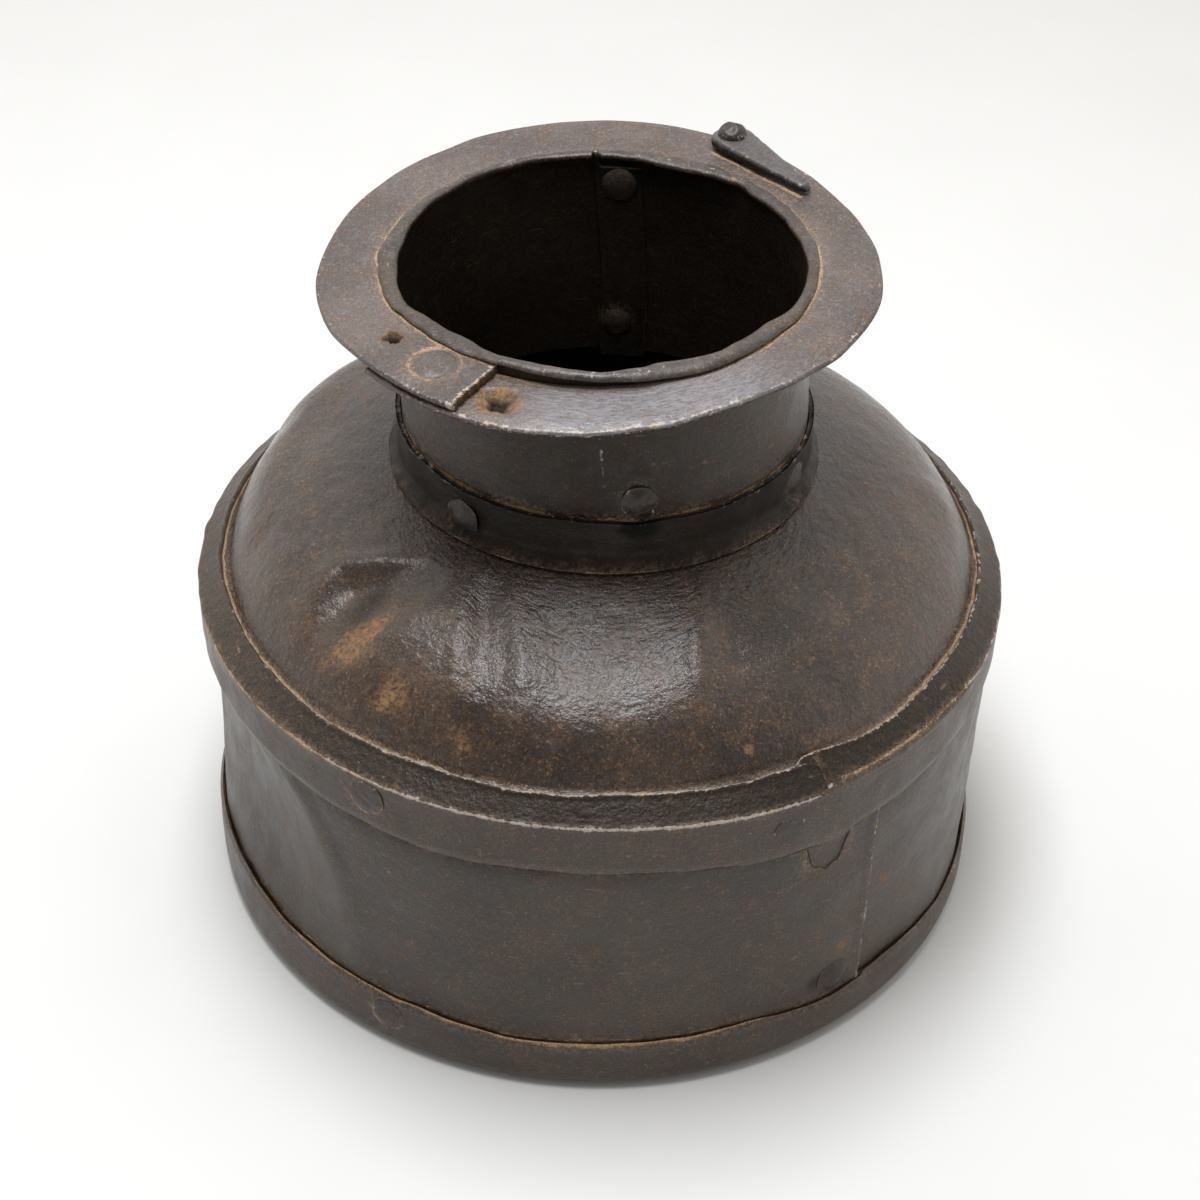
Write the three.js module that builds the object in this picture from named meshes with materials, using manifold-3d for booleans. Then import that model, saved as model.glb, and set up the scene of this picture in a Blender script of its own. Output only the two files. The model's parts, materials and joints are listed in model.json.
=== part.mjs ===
import * as THREE from 'three';
import { mergeVertices } from 'three/addons/utils/BufferGeometryUtils.js';
import Module from 'manifold-3d';

const wasm = await Module();
wasm.setup();

// Riveted iron water pot. Millimetres, +Z up, the foot stands on z = 0.
// Azimuths are in degrees: 0 is the front (towards -Y), and they grow towards +X.

// Clearances
const seatGap = 0.3;
const holeGap = 0.1;
const facetGap = 0.15;

// Drum
const drumRadius = 149.4;
const drumSheet = 1.6;
const drumHeight = 120.6;
const drumSeamEnd = 41.5;
const drumSeamLap = 13;
const drumSeamBlend = 24;

// Pan under the drum
const panSheet = 2;
const panRimHeight = 17.5;
const panSag = 3;
const panCorner = 4;
const panFootRadius = 64;
const panRimHigh = { azimuth: -58, halfTurn: 50, rise: 5 };
const panRimLow = { azimuth: 58, halfTurn: 52, rise: -6 };
const panFloorShare = 0.6;

// Hoop over the shoulder
const hoopSheet = 1.6;
const hoopWallDrop = 20.8;
const hoopFlange = 10.4;
const hoopLapStart = 22;
const hoopLapEnd = 31;
const hoopLapBlend = 16;
const hoopUnderReach = 1.6;
const hoopTabDrop = 14;
const hoopTabFrom = 29;
const hoopTabTo = 35.5;
const hoopTabCut = 0.5;
const hoopWear = 1.9;

// Dome
const domeSheet = 1.6;
const domeSeatSlope = 37;
const domeSeatSpare = 0.6;
const domeRise = 42.1;
const domeFootSlope = 65;
const domeTopSlope = 12;
const domeFootPull = 0.4;
const domeTopPull = 0.5;
const domeEdgeInset = 0.2;
const domeSteps = 7;

// Neck and its collar
const neckRadius = 73.2;
const neckSheet = 1.8;
const neckRise = 76.1;
const neckFootFlange = 8;
const neckSeamEnd = 181.5;
const neckSeamLap = 13.5;
const neckSeamBlend = 4;
const collarSheet = 1.8;
const collarHeight = 19.5;
const collarBevel = 0.6;

// Mouth: a flat ring, leaning a little to the left and to the front
const rimWidth = 23;
const rimPlate = 3;
const rimShiftX = -3.6;
const rimLeanX = 0.033;
const rimLeanY = 0.046;
const rimLapEnd = -26;
const rimLapOverlap = 24;
const rimLapRamp = 18;
const rimLapClear = 2;
const rimEdgeRound = 0.8;
const rimEdgeDroop = 0.5;
const rimStray = 1.5;
const rimNicks = [
  { azimuth: 28, halfTurn: 34, depth: 4.5 },
  { azimuth: -105, halfTurn: 36, depth: 2 },
  { azimuth: 118, halfTurn: 36, depth: 2 },
];
const rimHoleTools = [
  { azimuth: -52.9, place: 0.42, long: 7, wide: 6, turn: 20 },
  { azimuth: -20.6, place: 0.57, long: 8, wide: 6.5, turn: 50 },
];
const lipReach = 2.8;
const lipFront = 2.6;
const lipBack = 0.9;
const lipInset = 1.4;
const lipClimbBefore = 4;
const lipBridgeTurn = 60;
const lipBridgeGap = 0.2;
const lipThinFrom = 60;
const lipThinTurn = 40;

// Catch
const catchAzimuth = 148;
const catchPivotInset = 17.5;
const catchHeading = -52.4;
const catchLength = 43;
const catchWidth = 15;
const catchTipWidth = 4;
const catchBack = 6.5;
const catchThickness = 3.8;
const catchTipThickness = 2.4;
const catchBossRadius = 7;

// Rivets
const shankRadius = 3;
const flatHead = 1.1;
const innerHead = 1.4;
const innerHeadRadius = 5.5;

// How finely round forms are divided
const ringStep = 6;
const neckStep = 7.5;
const rivetSides = 10;

// A rivet's crown falls to this share of its height at this share of its radius
const crownShoulder = [0.62, 0.8];
const innerHeadTop = 0.75;
const wallCutter = 20;
const mouthCutter = 60;

const DEG = Math.PI / 180;

const iron = (color, roughness) => new THREE.MeshStandardMaterial({ color, roughness, metalness: 0.75 });
const wallIron = iron(0x413c37, 0.55);
const domeIron = iron(0x4a3f3a, 0.45);
const rimIron = iron(0x5c524e, 0.6);
const rivetIron = iron(0x3d3835, 0.55);

// Position at an azimuth, a radius and a height
function around(azimuth, radius, z) {
  return new THREE.Vector3(radius * Math.sin(azimuth * DEG), -radius * Math.cos(azimuth * DEG), z);
}

// Signed difference of two azimuths, from -180 to 180
const turnBetween = (from, to) => ((((to - from + 180) % 360) + 360) % 360) - 180;

// Eases from 0 to 1 while t goes from 0 to 1
function ease(t) {
  const s = THREE.MathUtils.clamp(t, 0, 1);
  return s * s * (3 - 2 * s);
}

// How far a chord of the given half width stands off its circle
const bow = (radius, halfWidth) => radius - Math.sqrt(radius * radius - halfWidth * halfWidth);

// A hollow or swelling that fades out smoothly from its middle
function swell(offAzimuth, offAlong) {
  const d = Math.hypot(offAzimuth, offAlong);
  return d < 1 ? (1 - d * d) ** 2 : 0;
}

// Offsets a polyline [[r, z], ...] to its left by a distance, with mitred corners
function offsetLine(line, distance) {
  const normals = line.slice(1).map(([r, z], i) => {
    const length = Math.hypot(r - line[i][0], z - line[i][1]);
    return [-(z - line[i][1]) / length, (r - line[i][0]) / length];
  });
  return line.map(([r, z], i) => {
    const a = normals[Math.max(i - 1, 0)];
    const b = normals[Math.min(i, normals.length - 1)];
    const stretch = distance / (1 + a[0] * b[0] + a[1] * b[1]);
    return [r + (a[0] + b[0]) * stretch, z + (a[1] + b[1]) * stretch];
  });
}

// Azimuths from one to another, every step of a shared grid, with extra ones at sharp changes
function azimuths(from, to, step, extra = []) {
  const grid = [];
  for (let a = Math.ceil(from / step) * step; a < to; a += step) grid.push(a);
  const all = [from, to, ...extra, ...grid.filter((a) => extra.every((e) => Math.abs(e - a) > step / 5))];
  return all
    .filter((a) => a >= from && a <= to)
    .sort((a, b) => a - b)
    .filter((a, i, sorted) => i === 0 || a - sorted[i - 1] > 1e-6);
}

// Drops the triangles that have no area once shared points are merged, and faces the rest outwards
function closedBody(geometry) {
  const bare = geometry.clone();
  bare.deleteAttribute('normal');
  bare.deleteAttribute('uv');
  const merged = mergeVertices(bare);
  const points = merged.attributes.position;
  const corner = (i) => new THREE.Vector3().fromBufferAttribute(points, i);
  const faces = [];
  let volume = 0;
  for (let i = 0; i < merged.index.count; i += 3) {
    const [a, b, c] = [0, 1, 2].map((k) => merged.index.getX(i + k));
    if (a === b || b === c || c === a) continue;
    volume += corner(a).dot(corner(b).cross(corner(c)));
    faces.push([a, b, c]);
  }
  const turned = volume < 0 ? faces.map(([a, b, c]) => [a, c, b]) : faces;
  merged.setIndex(turned.flat());
  merged.computeVertexNormals();
  return merged;
}

// Carries a closed section round the pot. section(azimuth) gives [[r, z], ...], and place(azimuth, r, z)
// gives the point. The strip ends in a flat face at each end, one lapped over the other.
function sweepRound(stations, section, place) {
  const sections = stations.map((azimuth) => section(azimuth));
  const count = sections[0].length;
  const positions = sections.flatMap((outline, i) =>
    outline.flatMap(([r, z]) => place(stations[i], r, z).toArray()));
  const faces = [];
  for (let i = 0; i + 1 < stations.length; i += 1) {
    for (let j = 0; j < count; j += 1) {
      const a = i * count + j;
      const b = i * count + ((j + 1) % count);
      faces.push([a, b, b + count], [a, b + count, a + count]);
    }
  }
  const cap = (station, forwards) => {
    const outline = sections[station].map(([r, z]) => new THREE.Vector2(r, z));
    const outlineForwards = THREE.ShapeUtils.area(outline) > 0;
    THREE.ShapeUtils.triangulateShape(outline, []).forEach((face) => {
      const faceForwards = THREE.ShapeUtils.area(face.map((k) => outline[k])) > 0;
      const kept = (faceForwards === outlineForwards) === forwards ? face : [...face].reverse();
      faces.push(kept.map((k) => station * count + k));
    });
  };
  cap(0, false);
  cap(stations.length - 1, true);
  const geometry = new THREE.BufferGeometry();
  geometry.setAttribute('position', new THREE.Float32BufferAttribute(positions, 3));
  geometry.setIndex(faces.flat());
  return closedBody(geometry);
}

// Turns a closed profile round the axis, then moves each point with shape(azimuth, r, z)
function turned(profile, segments, shape) {
  const outline = profile.map(([r, z]) => new THREE.Vector2(r, z));
  const geometry = new THREE.LatheGeometry(outline, segments).rotateX(Math.PI / 2);
  const points = geometry.attributes.position;
  for (let i = 0; i < points.count; i += 1) {
    const [x, y, z] = [points.getX(i), points.getY(i), points.getZ(i)];
    const azimuth = Math.atan2(x, -y) / DEG;
    const [r, height] = shape(azimuth, Math.hypot(x, y), z);
    const moved = around(azimuth, r, height);
    points.setXYZ(i, moved.x, moved.y, moved.z);
  }
  return closedBody(geometry);
}

const toManifold = (geometry) => new wasm.Manifold(new wasm.Mesh({
  numProp: 3,
  vertProperties: new Float32Array(geometry.attributes.position.array),
  triVerts: new Uint32Array(geometry.index.array),
}));

function fromManifold(solid) {
  const mesh = solid.getMesh();
  const geometry = new THREE.BufferGeometry();
  geometry.setAttribute('position', new THREE.BufferAttribute(mesh.vertProperties, 3));
  geometry.setIndex(new THREE.BufferAttribute(mesh.triVerts, 1));
  return closedBody(geometry);
}

const cut = (geometry, tools) => fromManifold(
  tools.reduce((solid, tool) => solid.subtract(toManifold(tool)), toManifold(geometry)));

// Turns +Y to a direction
const pointAlong = (direction) => new THREE.Quaternion().setFromUnitVectors(
  new THREE.Vector3(0, 1, 0), direction.clone().normalize());

// A round cutter for a rivet's hole, wide enough for the shank's corners at any turn
function holeCutter(place) {
  const radius = (shankRadius + holeGap) / Math.cos(Math.PI / rivetSides);
  const cutter = new THREE.CylinderGeometry(radius, radius, place.cut, rivetSides);
  cutter.applyQuaternion(pointAlong(place.out));
  cutter.translate(place.at.x, place.at.y, place.at.z);
  return closedBody(cutter);
}

// A headed rivet. place.at is on the outer surface, place.out points away from it, place.grip is the
// thickness held, and the gaps are what each head's flat underside needs over a curved wall.
function rivet(place) {
  const bottom = -place.grip - place.innerGap;
  const rise = (share) => place.outerGap + place.headHeight * share;
  const profile = [
    [0, rise(1)],
    [place.headRadius * crownShoulder[0], rise(crownShoulder[1])],
    [place.headRadius, place.outerGap],
    [shankRadius, place.outerGap],
    [shankRadius, bottom],
    [innerHeadRadius, bottom],
    [innerHeadRadius * innerHeadTop, bottom - innerHead],
    [0, bottom - innerHead],
  ];
  const outline = profile.map(([r, y]) => new THREE.Vector2(r, y));
  const geometry = new THREE.LatheGeometry(outline, rivetSides);
  geometry.applyQuaternion(pointAlong(place.out));
  geometry.translate(place.at.x, place.at.y, place.at.z);
  return closedBody(geometry);
}

function piece(name, geometry, material) {
  const mesh = new THREE.Mesh(geometry, material);
  mesh.name = name;
  return mesh;
}

// Pan: a flat foot, a floor that sags to it, a round corner and an upturned rim
const panRadius = drumRadius + seatGap + panSheet;
const panCornerZ = panSag + panCorner;
const panRimTop = panCornerZ + panRimHeight;
const drumFoot = panCornerZ + seatGap;
const drumTop = drumFoot + drumHeight;

// The rim's edge stands high at the front left and low at the front right
function panRimWander(azimuth) {
  const wave = (place) => place.rise * swell(turnBetween(place.azimuth, azimuth) / place.halfTurn, 0);
  return wave(panRimHigh) + wave(panRimLow);
}

function panGeometry() {
  const cornerStart = panRadius - panCorner;
  const floor = (share) => [
    THREE.MathUtils.lerp(panFootRadius, cornerStart, share),
    panSag * share * share,
  ];
  const corner = (share, radius) => [
    cornerStart + radius * Math.sin(share * Math.PI / 2),
    panCornerZ - radius * Math.cos(share * Math.PI / 2),
  ];
  const outer = [[0, 0], ...[0, panFloorShare].map(floor)];
  outer.push(...[0, 0.5, 1].map((share) => corner(share, panCorner)));
  outer.push([panRadius, panRimTop]);
  const innerCorner = panCorner - panSheet;
  const inner = [[panRadius - panSheet, panRimTop]];
  inner.push(...[1, 0].map((share) => corner(share, innerCorner)));
  inner.push(...[panFloorShare, 0].map(floor).map(([r, z]) => [r, z + panSheet]), [0, panSheet]);
  const rimOnly = (z) => THREE.MathUtils.clamp((z - panCornerZ) / panRimHeight, 0, 1);
  const shape = (azimuth, r, z) => [r, z + rimOnly(z) * panRimWander(azimuth)];
  return turned([...outer, ...inner], 360 / ringStep, shape);
}

// Drum: a strip whose right end passes inside its left end at the seam. A broad dent lies front left.
const drumDentLeft = -88;
const drumDentRight = -36;
const drumDentLean = 10;
const drumDentDepth = 9;
const drumDentPlace = 0.55;
const drumDentReach = 0.42;
const seamStep = drumSheet + seatGap;

// The dent's right side leans to the left as it rises, and its floor is broad
function drumDent(azimuth, z) {
  const share = (z - drumFoot) / drumHeight;
  const lean = drumDentLean * THREE.MathUtils.clamp((share - 0.32) / 0.5, 0, 1.1) ** 2;
  const right = drumDentRight - lean;
  const halfTurn = (right - drumDentLeft) / 2;
  const across = turnBetween((right + drumDentLeft) / 2, azimuth) / halfTurn;
  const up = (share - drumDentPlace) / drumDentReach;
  return drumDentDepth * Math.max(1 - across ** 2, 0) ** 1.35 * Math.max(1 - up ** 2, 0) ** 1.6;
}

function drumGeometry() {
  const start = drumSeamEnd - drumSeamLap;
  const end = drumSeamEnd + 360;
  const rows = 6;
  const heights = Array.from({ length: rows + 1 }, (_, i) => drumFoot + (drumHeight * i) / rows);
  const section = (azimuth) => {
    const radius = drumRadius - seamStep * (1 - ease((azimuth - drumSeamEnd) / drumSeamBlend));
    const outer = heights.map((z) => [radius, z]);
    const inner = [...heights].reverse().map((z) => [radius - drumSheet, z]);
    return [...outer, ...inner];
  };
  const place = (azimuth, r, z) => around(azimuth, r - drumDent(azimuth, z), z);
  return sweepRound(azimuths(start, end, ringStep), section, place);
}

// Dome: a sloping seat under the hoop, then a crown that rises steeply and flattens towards the neck
const seatSlope = domeSeatSlope * DEG;
const domeEdgeRadius = drumRadius - domeEdgeInset;
const domeEdgeZ = drumTop + seatGap + domeSheet / Math.cos(seatSlope);
const domeSeatWidth = (hoopFlange + hoopUnderReach) * Math.cos(seatSlope) + domeSeatSpare;
const domeFootRadius = domeEdgeRadius - domeSeatWidth;
const domeFootZ = domeEdgeZ + domeSeatWidth * Math.tan(seatSlope);
const domeHoleRadius = neckRadius + seatGap;
const domeTopZ = domeFootZ + domeRise;

const domeCrown = (() => {
  const foot = new THREE.Vector2(domeFootRadius, domeFootZ);
  const top = new THREE.Vector2(domeHoleRadius, domeTopZ);
  const chord = foot.distanceTo(top);
  const lead = (slope, pull) => new THREE.Vector2(Math.cos(slope * DEG), Math.sin(slope * DEG))
    .multiplyScalar(chord * pull);
  const climb = lead(180 - domeFootSlope, domeFootPull);
  const settle = lead(-domeTopSlope, domeTopPull);
  return new THREE.CubicBezierCurve(foot, foot.clone().add(climb), top.clone().add(settle), top);
})();

// Hollows beaten into the crown. Their places along it run from 0 at the neck's foot to 1 at the seat.
const domeDents = [
  { azimuth: -45, along: 0.55, halfTurn: 12, halfAlong: 0.45, depth: 4.5 },
  { azimuth: -20, along: 0.5, halfTurn: 9, halfAlong: 0.5, depth: 2.3 },
  { azimuth: -118, along: 0.74, halfTurn: 44, halfAlong: 0.3, depth: -4.5 },
];
const domeFace = { azimuth: -0.5, along: 0.53, halfTurn: 17, halfAlong: 0.51, depth: 4 };
const dentsClear = 1;
const dentsInside = neckRadius + neckFootFlange + dentsClear;

// How far along the crown a radius lies from the middle of a dent, in halves of its length
const offMiddle = (dent, r) => (
  (r - dentsInside) / (domeFootRadius - dentsInside) - dent.along) / dent.halfAlong;

// The face is flat across, so its two sides end in creases
function domeDent(azimuth, r) {
  const across = turnBetween(domeFace.azimuth, azimuth) / domeFace.halfTurn;
  const face = domeFace.depth * Math.max(1 - across * across, 0) * swell(0, offMiddle(domeFace, r));
  return domeDents.reduce((sum, dent) => sum + dent.depth * swell(
    turnBetween(dent.azimuth, azimuth) / dent.halfTurn,
    offMiddle(dent, r),
  ), face);
}

const domeLine = () => {
  const crown = domeCrown.getPoints(domeSteps).map((point) => [point.x, point.y]);
  return [[domeEdgeRadius, domeEdgeZ], ...crown];
};

function domeGeometry() {
  const outer = domeLine();
  const inner = offsetLine(outer, domeSheet);
  inner[0] = [domeEdgeRadius, domeEdgeZ - domeSheet / Math.cos(seatSlope)];
  inner[inner.length - 1] = [domeHoleRadius, domeTopZ - domeSheet / Math.cos(domeTopSlope * DEG)];
  const shape = (azimuth, r, z) => [r, z - domeDent(azimuth, r)];
  return turned([...outer, ...inner.reverse(), outer[0]], 360 / ringStep, shape);
}

// Hoop: a strip bent over the shoulder. Its left end rides over its right end at the lap.
const hoopInside = drumRadius + seatGap;
const hoopCornerZ = domeEdgeZ - (hoopInside - domeEdgeRadius) * Math.tan(seatSlope)
  + seatGap / Math.cos(seatSlope);
const hoopFoot = hoopCornerZ - hoopWallDrop;
const lapStep = hoopSheet + seatGap;
const hoopRadius = hoopInside + hoopSheet;

// How far the strip stands off its seat: it has climbed to its full step a little before the lap starts
const lapClear = 1;
const hoopLapFull = hoopLapStart + 360 - lapClear;
const hoopRide = (azimuth) => lapStep * ease((azimuth - hoopLapFull + hoopLapBlend) / hoopLapBlend);

function hoopGeometry() {
  const end = hoopLapEnd + 360;
  const section = (azimuth) => {
    const under = azimuth < hoopTabTo + hoopTabCut;
    const inTab = azimuth >= hoopTabFrom && azimuth <= hoopTabTo;
    const foot = hoopFoot - (inTab ? hoopTabDrop : 0);
    const flange = hoopFlange + (under ? hoopUnderReach : 0);
    const inner = [
      [hoopInside, foot],
      [hoopInside, hoopCornerZ],
      [hoopInside - flange * Math.cos(seatSlope), hoopCornerZ + flange * Math.sin(seatSlope)],
    ];
    const back = offsetLine(inner, -hoopRide(azimuth));
    const face = offsetLine(inner, -hoopRide(azimuth) - hoopSheet);
    const corner = face[1];
    const worn = [
      [corner[0], corner[1] - hoopWear],
      [corner[0] - hoopWear * Math.cos(seatSlope), corner[1] + hoopWear * Math.sin(seatSlope)],
    ];
    return [face[0], ...worn, face[2], ...back.reverse()];
  };
  const sharp = [hoopTabFrom - hoopTabCut, hoopTabFrom, hoopTabTo, hoopTabTo + hoopTabCut];
  const blend = [hoopLapFull - hoopLapBlend, hoopLapFull];
  return sweepRound(azimuths(hoopLapStart, end, ringStep, [...sharp, ...blend]), section, around);
}

// Collar: a plain ring that stands on the dome, close round the neck
const collarFoot = domeTopZ + seatGap;
const collarRadius = neckRadius + seatGap + collarSheet;
const collarTop = collarFoot + collarHeight;

function collarGeometry() {
  const profile = [
    [collarRadius, collarFoot],
    [collarRadius, collarTop - collarBevel],
    [collarRadius - collarBevel, collarTop],
    [collarRadius - collarSheet, collarTop],
    [collarRadius - collarSheet, collarFoot],
  ];
  return turned([...profile, profile[0]], 360 / neckStep, (azimuth, r, z) => [r, z]);
}

// The mouth's own frame: its origin is in the middle of the ring's upper face
const mouth = new THREE.Group();
mouth.position.set(rimShiftX, 0, collarFoot + neckRise);
mouth.rotation.set(Math.atan(rimLeanY), -Math.atan(rimLeanX), 0);
mouth.updateMatrix();

const rimInside = neckRadius + seatGap;
const rimLapStep = rimPlate + seatGap;
const rimLapStart = rimLapEnd - rimLapOverlap;

// The ring's outline was cut by eye: how far its edge strays from a circle
function rimWander(azimuth) {
  return rimNicks.reduce((stray, nick) => (
    stray - nick.depth * swell(turnBetween(nick.azimuth, azimuth) / nick.halfTurn, 0)), rimStray);
}

// How far the upper end of the ring is lifted over the lower one
const rimLift = (azimuth) => rimLapStep * ease(
  (azimuth - 360 - rimLapStart + rimLapRamp + rimLapClear) / rimLapRamp);

function rimGeometry() {
  const end = rimLapEnd + 360;
  const section = (azimuth) => {
    const lift = rimLift(azimuth);
    const outside = rimInside + rimWidth + rimWander(azimuth);
    return [
      [rimInside, lift - rimPlate],
      [outside - rimEdgeRound, lift - rimPlate],
      [outside, lift - rimPlate / 2],
      [outside - rimEdgeDroop, lift],
      [rimInside, lift],
    ];
  };
  const full = rimLapStart + 360 - rimLapClear;
  const ramp = [full - rimLapRamp, full];
  return sweepRound(azimuths(rimLapStart, end, neckStep, ramp), section, around);
}

// The lip rides over the ring's lap and bridges down to the ring again on its right
function lipRise(azimuth) {
  const fromLap = turnBetween(rimLapEnd, azimuth);
  const climb = ease((fromLap + rimLapOverlap + rimLapRamp + lipClimbBefore) / rimLapRamp);
  const bridge = 1 - ease((fromLap - rimLapClear) / lipBridgeTurn);
  return (rimLapStep + lipBridgeGap) * climb * bridge;
}

// The lip is a full bead at the front and beaten thin at the back
const lipHeight = (azimuth) => THREE.MathUtils.lerp(
  lipFront, lipBack, ease((Math.abs(turnBetween(0, azimuth)) - lipThinFrom) / lipThinTurn));

const neckFootZ = domeTopZ - domeSheet / Math.cos(domeTopSlope * DEG) - seatGap;
const neckWallTop = mouth.position.z - rimPlate * 3;

// Upright near the collar, and in the mouth's leaning frame near the ring
function neckPoint(azimuth, r, z) {
  const upright = around(azimuth, r, z);
  const leaning = around(azimuth, r, z - mouth.position.z).applyMatrix4(mouth.matrix);
  const share = ease((z - collarTop) / (neckWallTop - collarTop));
  return upright.lerp(leaning, share);
}

function neckGeometry() {
  const start = neckSeamEnd - neckSeamLap;
  const end = neckSeamEnd + 360;
  const mouthZ = mouth.position.z;
  const wallRows = 3;
  const lipStart = 0.6;
  const section = (azimuth) => {
    const past = (azimuth - neckSeamEnd - 0.5) / neckSeamBlend;
    const tucked = 1 - ease(past / lipStart);
    const spread = ease((past - lipStart) / (1 - lipStart));
    const radius = neckRadius - (neckSheet + seatGap) * tucked;
    const inside = radius - neckSheet;
    const under = mouthZ + seatGap + lipRise(azimuth);
    const top = under + lipHeight(azimuth);
    const full = (tuckedZ, z) => THREE.MathUtils.lerp(z, tuckedZ, tucked);
    const trimmed = neckWallTop + rimPlate;
    const reach = lipReach * spread;
    const inset = lipInset * spread;
    const slope = Math.tan(domeTopSlope * DEG);
    const footDrop = slope * neckFootFlange;
    const outer = [
      [radius + neckFootFlange, neckFootZ - footDrop - (neckRadius - radius)],
      [radius, neckFootZ - (neckRadius - radius)],
    ];
    for (let i = 0; i <= wallRows; i += 1) {
      outer.push([radius, THREE.MathUtils.lerp(collarTop, neckWallTop, i / wallRows)]);
    }
    outer.push([radius, full(trimmed, under)]);
    const lip = [
      [radius + reach, full(trimmed + 0.2, under)],
      [radius + reach * 0.9, full(trimmed + 0.4, under + (top - under) * 0.7)],
      [radius - neckSheet * 0.3, full(trimmed + 0.6, top)],
      [inside - inset * 0.6, full(trimmed + 0.4, under + (top - under) * 0.6)],
      [inside - inset, full(trimmed + 0.2, under - 0.5)],
    ];
    const inner = [[inside, full(trimmed - 0.8, under - 3)]];
    for (let i = wallRows; i >= 0; i -= 1) {
      inner.push([inside, THREE.MathUtils.lerp(collarTop, neckWallTop, i / wallRows)]);
    }
    inner.push(
      [inside, neckFootZ - neckSheet - (neckRadius - radius)],
      [radius + neckFootFlange, neckFootZ - footDrop - neckSheet - (neckRadius - radius)],
    );
    return [...outer, ...lip, ...inner];
  };
  const sharp = [0, lipStart, 1].map((share) => neckSeamEnd + 0.5 + neckSeamBlend * share);
  return sweepRound(azimuths(start, end, neckStep, sharp), section, neckPoint);
}

// Catch: a tapered tongue on a small boss, so that it passes over the lip when it swings
const catchPivot = around(catchAzimuth, rimInside + catchPivotInset, 0);
const catchUnder = seatGap * 2 + lipBack;

function catchGeometry() {
  const halfWide = catchWidth / 2;
  const halfTip = catchTipWidth / 2;
  const outline = new THREE.Shape();
  outline.moveTo(-catchBack, -halfWide * 0.6);
  outline.lineTo(-catchBack * 0.5, -halfWide);
  outline.lineTo(catchBack, -halfWide);
  outline.lineTo(catchLength, -halfTip);
  outline.lineTo(catchLength, halfTip);
  outline.lineTo(catchBack, halfWide);
  outline.lineTo(-catchBack * 0.5, halfWide);
  outline.lineTo(-catchBack, halfWide * 0.6);
  outline.closePath();
  const blade = new THREE.ExtrudeGeometry(outline, { depth: catchThickness, bevelEnabled: false });
  const points = blade.attributes.position;
  for (let i = 0; i < points.count; i += 1) {
    const share = THREE.MathUtils.clamp(points.getX(i) / catchLength, 0, 1);
    const thin = THREE.MathUtils.lerp(1, catchTipThickness / catchThickness, share);
    points.setZ(i, points.getZ(i) * thin);
  }
  blade.translate(0, 0, catchUnder);
  const bossHeight = catchUnder - seatGap + catchThickness / 2;
  const boss = new THREE.CylinderGeometry(catchBossRadius, catchBossRadius, bossHeight, 16);
  boss.rotateX(Math.PI / 2).translate(0, 0, seatGap + bossHeight / 2);
  const bore = holeCutter({
    at: new THREE.Vector3(0, 0, catchUnder),
    out: new THREE.Vector3(0, 0, 1),
    cut: catchThickness * 6,
  });
  const joined = toManifold(closedBody(blade)).add(toManifold(closedBody(boss)));
  return fromManifold(joined.subtract(toManifold(bore)));
}

const up = new THREE.Vector3(0, 0, 1);
const catchGrip = catchUnder + catchThickness + rimPlate;

const catchRivetPlace = {
  at: catchPivot.clone().setZ(catchUnder + catchThickness),
  out: up,
  grip: catchGrip,
  cut: mouthCutter,
  outerGap: seatGap,
  innerGap: seatGap,
  headRadius: 5.5,
  headHeight: 4.5,
};

const rimLapRivetAzimuth = -38;
const rimLapRivetPlaceShare = 0.42;
const rimLapRivetPlace = {
  at: around(rimLapRivetAzimuth, rimInside + rimWidth * rimLapRivetPlaceShare, rimLapStep),
  out: up,
  grip: rimPlate + rimLapStep,
  cut: mouthCutter,
  outerGap: seatGap,
  innerGap: seatGap,
  headRadius: 7.5,
  headHeight: 0.9,
};

// A rivet through the drum, its head on a layer that stands off the drum's face
function drumRivet(azimuth, z, faceRadius, held, head) {
  return {
    at: around(azimuth, faceRadius, z),
    out: around(azimuth, 1, 0),
    grip: held,
    cut: wallCutter,
    outerGap: seatGap,
    innerGap: seatGap + bow(drumRadius - drumSheet, innerHeadRadius) + facetGap,
    ...head,
  };
}

const flatHeadShape = { headRadius: 6.8, headHeight: flatHead };
const domedHeadShape = { headRadius: 7.5, headHeight: 3 };

const hoopRivetDrop = 7.2;
const hoopRivetAzimuths = [-30.4, 100, -142];
const hoopRivetZ = hoopCornerZ - hoopRivetDrop;
const hoopRivetPlaces = hoopRivetAzimuths.map((azimuth) => drumRivet(
  azimuth, hoopRivetZ, hoopRadius, hoopRadius - drumRadius + drumSheet, flatHeadShape));

// The lap's rivet goes through both ends of the hoop and through the drum beside the end of its strip
const hoopLapRivetAzimuth = 25.5;
const hoopLapRivetDrop = 2.5;
const hoopLapRivetPlace = drumRivet(
  hoopLapRivetAzimuth,
  hoopRivetZ - hoopLapRivetDrop,
  hoopRadius + lapStep,
  hoopRadius + lapStep - drumRadius + drumSheet,
  { headRadius: 6, headHeight: 0.7 },
);

const drumSeamRivetInset = 5;
const drumSeamRivetAzimuth = drumSeamEnd - drumSeamRivetInset;
const drumSeamRivetPlace = drumRivet(
  drumSeamRivetAzimuth,
  panRimTop + panRimWander(drumSeamRivetAzimuth - 4) + domedHeadShape.headRadius + 1.5,
  drumRadius,
  drumSheet + seamStep,
  domedHeadShape,
);

const baseRivetShare = 0.55;
const baseRivetAzimuths = [-28.7, 103, 171, -101];
const baseRivetZ = panCornerZ + panRimHeight * baseRivetShare;
const baseRivetPlaces = baseRivetAzimuths.map((azimuth) => drumRivet(
  azimuth, baseRivetZ, panRadius, panRadius - drumRadius + drumSheet, flatHeadShape));

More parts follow.
